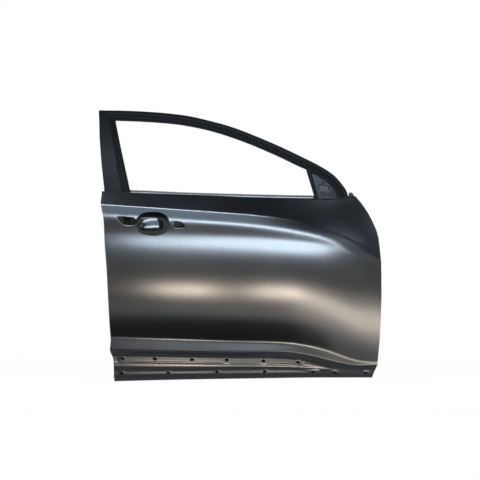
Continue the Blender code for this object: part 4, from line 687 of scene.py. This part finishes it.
def raised(px, py, left, right, top, low, soft=PATCH_SOFT):
    """Share of a rounded patch's height at photograph coordinates."""
    inside = np.minimum.reduce([px - left, right - px, py - top, low - py])
    share = np.clip(inside / soft + 0.5, 0, 1)
    return share ** 2 * (3 - 2 * share)


def gusset_depth(points):
    """Depth of the corner plate, with its pad, rib, slot and the lip along the header."""
    x, z = points[:, 0], points[:, 1]
    px = x / LENGTH_PER_PX + (REAR_PX + FRONT_PX) / 2
    py = BOTTOM_PX - z / HEIGHT_PER_PX
    header = np.interp(px, *np.array(header_side).T)
    left, right, top, low = PAD
    pad_height = PAD_RISE + PAD_SLOPE * np.clip(low - py, 0, PAD_REACH) * HEIGHT_PER_PX
    left, top = left + (py - PAD_CORNER[1]) * PAD_LEAN, top + (px - PAD_CORNER[0]) * PAD_FALL
    pad = pad_height * raised(px, py, left, right, top, low)
    lip = np.clip(1 - np.abs(py - header - LIP_MIDDLE) / LIP_HALF, 0, 1)
    rib, slot = RIB_RISE * raised(px, py, *RIB), SLOT_SINK * raised(px, py, *SLOT, SLOT_SOFT)
    return frame_depth(x, z) + GUSSET_STEP - (pad + rib - slot + LIP_RISE * lip)


# Radius and depth of each ring from the seat round a hole into its nut.
NUT_RINGS = ((0.0080, 0.0), (0.0070, -0.0010), (0.0052, -0.0012), (0.0042, 0.0), (0.0038, 0.0066),
             (0.0010, 0.0070))
NUT_SIDES, NUT_CLEARANCE = 24, 0.0088
GUSSET_GRID, OUTLINE_STEP, LIP_RING_STEP, LIP_ZONE, FOLD_LIMIT = 0.0013, 0.0022, 0.0012, 0.0092, 0.0005
corners_px = np.array(gusset_edge)
outline = resampled(np.column_stack([across(corners_px[:, 0]), up(corners_px[:, 1])]), OUTLINE_STEP)
grow = 1 if within(widened(outline, -FOLD_LIMIT), outline).all() else -1
outline = widened(outline, grow * GUSSET_TUCK)
low, high = outline.min(axis=0), outline.max(axis=0)
spots = np.stack(np.meshgrid(*(np.arange(low[k], high[k], GUSSET_GRID) for k in (0, 1))), axis=-1)
spots = spots.reshape(-1, 2)
keep = within(spots, widened(outline, -grow * LIP_ZONE))
lip_rings = []
for reach in np.arange(LIP_RING_STEP, LIP_ZONE, LIP_RING_STEP):
    ring = widened(outline, -grow * reach)
    lip_rings.append(ring[within(ring, widened(outline, -grow * (reach - FOLD_LIMIT)))])
nut_rings = []
turn = np.linspace(0, 2 * math.pi, NUT_SIDES, endpoint=False)
for px, py in MIRROR_HOLES:
    middle = np.array([across(px), up(py)])
    keep &= np.linalg.norm(spots - middle, axis=1) > NUT_CLEARANCE
    for radius, sunk in NUT_RINGS:
        nut_rings.append((middle + radius * np.column_stack([np.cos(turn), np.sin(turn)]), sunk))
spots = np.vstack([spots[keep]] + lip_rings)
flat = np.vstack([outline, spots] + [ring for ring, _ in nut_rings])
sunk = np.concatenate([np.zeros(len(outline) + len(spots))]
                      + [np.full(NUT_SIDES, drop) for _, drop in nut_rings])
edges = [(k, (k + 1) % len(outline)) for k in range(len(outline))]
for k in range(len(nut_rings)):
    first = len(flat) - NUT_SIDES * (len(nut_rings) - k)
    edges += [(first + j, first + (j + 1) % NUT_SIDES) for j in range(NUT_SIDES)]
_, _, triangles, source, _, _ = delaunay_2d_cdt([Vector(p) for p in flat], edges, [], 1, 1e-9, True)
place = [s[0] if s else 0 for s in source]
verts = in_world(flat[:, 0], flat[:, 1], gusset_depth(flat) + sunk)
faces = [tuple(place[k] for k in triangle) for triangle in triangles]
corner_plate = new_piece("mirror_corner_plate", verts, faces, sharp_deg=45)
if sum(face.normal.y for face in corner_plate.data.polygons) > 0:
    corner_plate.data.flip_normals()
corner_plate.modifiers.new("sheet", "SOLIDIFY").thickness = GUSSET_SHEET
# The same primer on the pressed plate, set a little paler and bluer than on the frame round it: that tint is
# a painted cool sheen, standing in for the reflection of the cool lights.
plate_primer_painted_sheen = primer("satin_black_ecoat_mirror_plate_painted_sheen", "#1c1e25", "#17191f", 0.26, 2.5, 0.02, 0.20)
corner_plate.data.materials.append(plate_primer_painted_sheen)
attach(corner_plate, "root")
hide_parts("mirror_gusset")

# Belt flange
# The inner panel's upper edge is folded into a narrow flange that the inner belt seal clips on. It stands
# behind the glass slot and catches the light as a pale line over the skin's edge.
BELT_LINE = [(131.0, 190.0), (155.0, 191.0), (176.0, 192.0), (208.0, 193.1), (240.0, 194.0), (280.0, 195.0),
             (313.0, 195.5)]
BELT_BACK = [(131.0, -0.0035), (240.0, 0.0058), (313.0, 0.0140)]
BELT_FLANGE, BELT_LEAN, BELT_FOLD, BELT_STATIONS = 0.0105, 0.139, 0.0024, 90
# The flange leans back as it rises, then turns over in a small round: heights under its top, and depths.
BELT_BEND, BELT_ROUND = 0.0022, [(-0.0009, 0.0001), (-0.0001, 0.0008), (0, 0.0016), (-0.0006, BELT_FOLD)]
belt_section = [(-BELT_FLANGE, 0), (-BELT_BEND, BELT_LEAN * (BELT_FLANGE - BELT_BEND))]
belt_section += [(height, BELT_LEAN * BELT_FLANGE + depth) for height, depth in BELT_ROUND]
belt_section.append((-BELT_FLANGE, BELT_FOLD))
run_px = np.linspace(BELT_LINE[0][0], BELT_LINE[-1][0], BELT_STATIONS)
top = up(spline(*zip(*BELT_LINE), run_px))
back = spline(*zip(*BELT_BACK), run_px)
verts = [(float(across(px)), b + d, t + h) for px, t, b in zip(run_px, top, back) for h, d in belt_section]
size = len(belt_section)
faces = skirt_faces(len(run_px), size)
faces += [tuple(range(size)), tuple(range((len(run_px) - 1) * size, len(run_px) * size))]
belt_flange = new_piece("belt_seal_flange", verts, faces, sharp_deg=60)
belt_flange.data.materials.append(skin_primer)
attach(belt_flange, "root")

# Pressed pieces behind the skin
# Inner panel, reinforcements, brackets and run channels are pressed from thin sheet and spot-welded before
# the bath; the primer lies duller in them. The crash beam is a welded tube, and the nuts are cut steel.
inner_primer = primer("satin_black_ecoat_inner_sheet", "#1a1b1d", "#151618", 0.40, 2.0, 0.03, 0.20)
tube_primer = primer("satin_black_ecoat_welded_tube", "#17181a", "#131415", 0.32, 2.0, 0.03, 0.30)
nut_primer = primer("satin_black_ecoat_cut_steel", "#1e2021", "#18191a", 0.35, 1.5, 0.04, 0.35)
# Painted shade: the pieces seen through the skin's holes get a darker, matt copy of the primer with almost no
# gloss, so the inside of the shell looks black.
painted_shade_primer = primer("painted_shade_black_ecoat_inside_the_shell", "#0e0f10", "#0b0c0d", 0.60, 2.0, 0.03, 0.03)
SHADED = ("rear_run_channel", "front_run_bracket", "rear_run_bracket", "handle_reinforcement")
finishes = {"black_primed_inner_steel": inner_primer, "black_primed_frame_steel": frame_primer,
            "black_primed_tube": tube_primer, "black_primed_nut": nut_primer,
            "black_primed_skin": skin_primer}

# Mastic pads
# Soft grey mastic, extruded in blobs between beam and skin, that swells and sets in the primer's oven.
mastic = bpy.data.materials.new("grey_baked_mastic")
mastic.use_nodes = True
body = mastic.node_tree.nodes["Principled BSDF"]
body.inputs["Roughness"].default_value = 0.85
grain = add_node(mastic, "ShaderNodeTexNoise", {"Scale": 1000 / 4.0, "Detail": 4.0},
                 {"Vector": add_node(mastic, "ShaderNodeTexCoord").outputs["Object"]})
tone = add_node(mastic, "ShaderNodeMix", {"data_type": "RGBA", 6: srgb("#4e4e4b"), 7: srgb("#66665f")},
                {"Factor": grain.outputs["Fac"]})
mastic.node_tree.links.new(tone.outputs[2], body.inputs["Base Color"])
lumps = add_node(mastic, "ShaderNodeBump", {"Strength": 0.5, "Distance": 0.0008},
                 {"Height": grain.outputs["Fac"]})
mastic.node_tree.links.new(lumps.outputs["Normal"], body.inputs["Normal"])
finishes["grey_mastic"] = mastic
# Every piece that the part brings along gets the finish of its slot.
for part in frame["record"]["subparts"]:
    node = frame["nodes"].get(part["node"])
    if node is None:
        continue
    # The pieces listed in SHADED take the darker copy of the primer, which is painted shade.
    finish = painted_shade_primer if part["node"] in SHADED else finishes[part["material_slot"]]
    if node.material_slots:
        for slot in node.material_slots:
            slot.material = finish
    else:
        node.data.materials.append(finish)

# Studio
# A white paper floor and a white background. Cool boxes over the camera, warm lamps just under its height
# and warm glows low on the right are what the gloss shows; one box lights the back, two flags keep white out.
FLOOR_HALF, FLOOR_DROP, FLOOR_WHITE = 4, 0.003, 0.97
CARD_CORNERS = ((-1, -1), (1, -1), (1, 1), (-1, 1))
floor_mesh = bpy.data.meshes.new("studio_floor")
floor_mesh.from_pydata([(u * FLOOR_HALF, v * FLOOR_HALF, -FLOOR_DROP) for u, v in CARD_CORNERS], [],
                       [(0, 1, 2, 3)])
floor = bpy.data.objects.new("studio_floor", floor_mesh)
bpy.context.scene.collection.objects.link(floor)
paper = bpy.data.materials.new("pale_studio_paper")
paper.use_nodes = True
paper_body = paper.node_tree.nodes["Principled BSDF"]
paper_body.inputs["Base Color"].default_value = srgb("#ececec")
paper_body.inputs["Roughness"].default_value = 0.9
# To the camera the paper is nearly as white as the background; only a faint shadow stays.
bright = add_node(paper, "ShaderNodeEmission", {"Color": (1, 1, 1, 1), "Strength": 1.0})
seen = add_node(paper, "ShaderNodeLightPath")
share = add_node(paper, "ShaderNodeMath", {"operation": "MULTIPLY", 1: FLOOR_WHITE},
                 {0: seen.outputs["Is Camera Ray"]})
blend = add_node(paper, "ShaderNodeMixShader", {},
                 {0: share.outputs[0], 1: paper_body.outputs[0], 2: bright.outputs[0]})
paper.node_tree.links.new(blend.outputs[0], paper.node_tree.nodes["Material Output"].inputs["Surface"])
floor.data.materials.append(paper)

world = bpy.data.worlds.new("studio_white")
bpy.context.scene.world = world
world.use_nodes = True
surround = world.node_tree.nodes["Background"]
surround.inputs["Color"].default_value = (0.9, 0.95, 1.0, 1)
surround.inputs["Strength"].default_value = 0.35
# The background is white to the camera and in reflections; as light it is cooler and weaker.
seen = add_node(world, "ShaderNodeLightPath")
either = add_node(world, "ShaderNodeMath", {"operation": "MAXIMUM"},
                  {0: seen.outputs["Is Camera Ray"], 1: seen.outputs["Is Transmission Ray"]})
either = add_node(world, "ShaderNodeMath", {"operation": "MAXIMUM"},
                  {0: either.outputs[0], 1: seen.outputs["Is Glossy Ray"]})
white = add_node(world, "ShaderNodeBackground", {"Color": (1, 1, 1, 1), "Strength": 1.0})
mixed = add_node(world, "ShaderNodeMixShader", {},
                 {0: either.outputs[0], 1: surround.outputs[0], 2: white.outputs[0]})
world.node_tree.links.new(mixed.outputs[0], world.node_tree.nodes["World Output"].inputs["Surface"])


def soft_box(name, place, aim, width, height, power, colour):
    """Rectangular studio light, turned to face a point."""
    light = bpy.data.lights.new(name, "AREA")
    light.shape, light.size, light.size_y = "RECTANGLE", width, height
    light.energy, light.color = power, colour
    lamp = bpy.data.objects.new(name, light)
    lamp.location = place
    lamp.rotation_euler = (Vector(aim) - Vector(place)).to_track_quat("-Z", "Y").to_euler()
    bpy.context.scene.collection.objects.link(lamp)


soft_box("cool_box_over_camera", (0.21, -3.15, 1.65), (0, 0, 0.60), 1.66, 0.23, 68, (0.70, 0.85, 1.0))
soft_box("cool_glow_above", (-0.40, -3.0, 2.55), (-0.2, 0, 0.65), 1.70, 1.15, 31, (0.58, 0.77, 1.0))
soft_box("cool_strip_high", (-0.32, -2.8, 3.02), (0, 0, 0.70), 1.62, 0.14, 72, (0.74, 0.87, 1.0))
soft_box("cool_box_corner", (1.85, -3.0, 2.75), (0.4, 0, 0.8), 0.70, 0.90, 12, (0.70, 0.85, 1.0))
soft_box("warm_lamp_left", (-0.27, -3.4, 0.42), (-0.2, 0, 0.4), 0.34, 0.24, 12.5, (1.0, 0.87, 0.70))
soft_box("warm_lamp_right", (0.34, -3.4, 0.42), (0.2, 0, 0.4), 0.38, 0.24, 14, (1.0, 0.87, 0.70))
soft_box("warm_glow_far_right", (1.24, -3.3, 0.26), (0.5, 0, 0.3), 1.46, 0.44, 28, (1.0, 0.89, 0.76))
soft_box("warm_glow_low_right", (0.85, -1.75, 0.02), (0.5, 0, 0.3), 1.1, 1.1, 12, (1.0, 0.87, 0.74))
soft_box("cool_box_behind", (-0.9, 3.2, 2.3), (0, 0, 0.60), 1.6, 1.2, 42, (0.84, 0.92, 1.0))


def flag(name, middle, width, height, lean_deg):
    """Black cloth on a frame, which keeps part of the white surroundings out of the panel's gloss."""
    mesh = bpy.data.meshes.new(name)
    mesh.from_pydata([(u * width / 2, 0, v * height / 2) for u, v in CARD_CORNERS], [], [(0, 1, 2, 3)])
    card = bpy.data.objects.new(name, mesh)
    card.location, card.rotation_euler = middle, (math.radians(lean_deg), 0, 0)
    bpy.context.scene.collection.objects.link(card)
    cloth = bpy.data.materials.new(name + "_cloth")
    cloth.use_nodes = True
    weave = cloth.node_tree.nodes["Principled BSDF"]
    weave.inputs["Base Color"].default_value = srgb("#0c0c0d")
    weave.inputs["Roughness"].default_value = 1.0
    weave.inputs["Specular IOR Level"].default_value = 0.0
    card.data.materials.append(cloth)
    card.visible_camera = card.visible_diffuse = card.visible_shadow = False


flag("black_flag_above", (0.0, -4.4, 6.1), 14.0, 7.8, 0)
flag("black_flag_on_floor", (-1.25, -0.95, 0.012), 3.3, 1.3, 90)

# Camera
# Square-on to the outside from far away, framed as the photograph is.
CAMERA_DISTANCE, PICTURE_PX, SENSOR_MM = 20.0, 480, 36
camera = bpy.data.objects.new("camera", bpy.data.cameras.new("camera"))
camera.location = (float(across(PICTURE_PX / 2)), -CAMERA_DISTANCE, float(up(PICTURE_PX / 2)))
camera.rotation_euler = (math.pi / 2, 0, 0)
camera.data.sensor_width = SENSOR_MM
camera.data.lens = SENSOR_MM * CAMERA_DISTANCE / (PICTURE_PX * LENGTH_PER_PX)
camera.data.clip_end = 100
bpy.context.scene.collection.objects.link(camera)
bpy.context.scene.camera = camera
bpy.context.scene.view_settings.view_transform = "Standard"
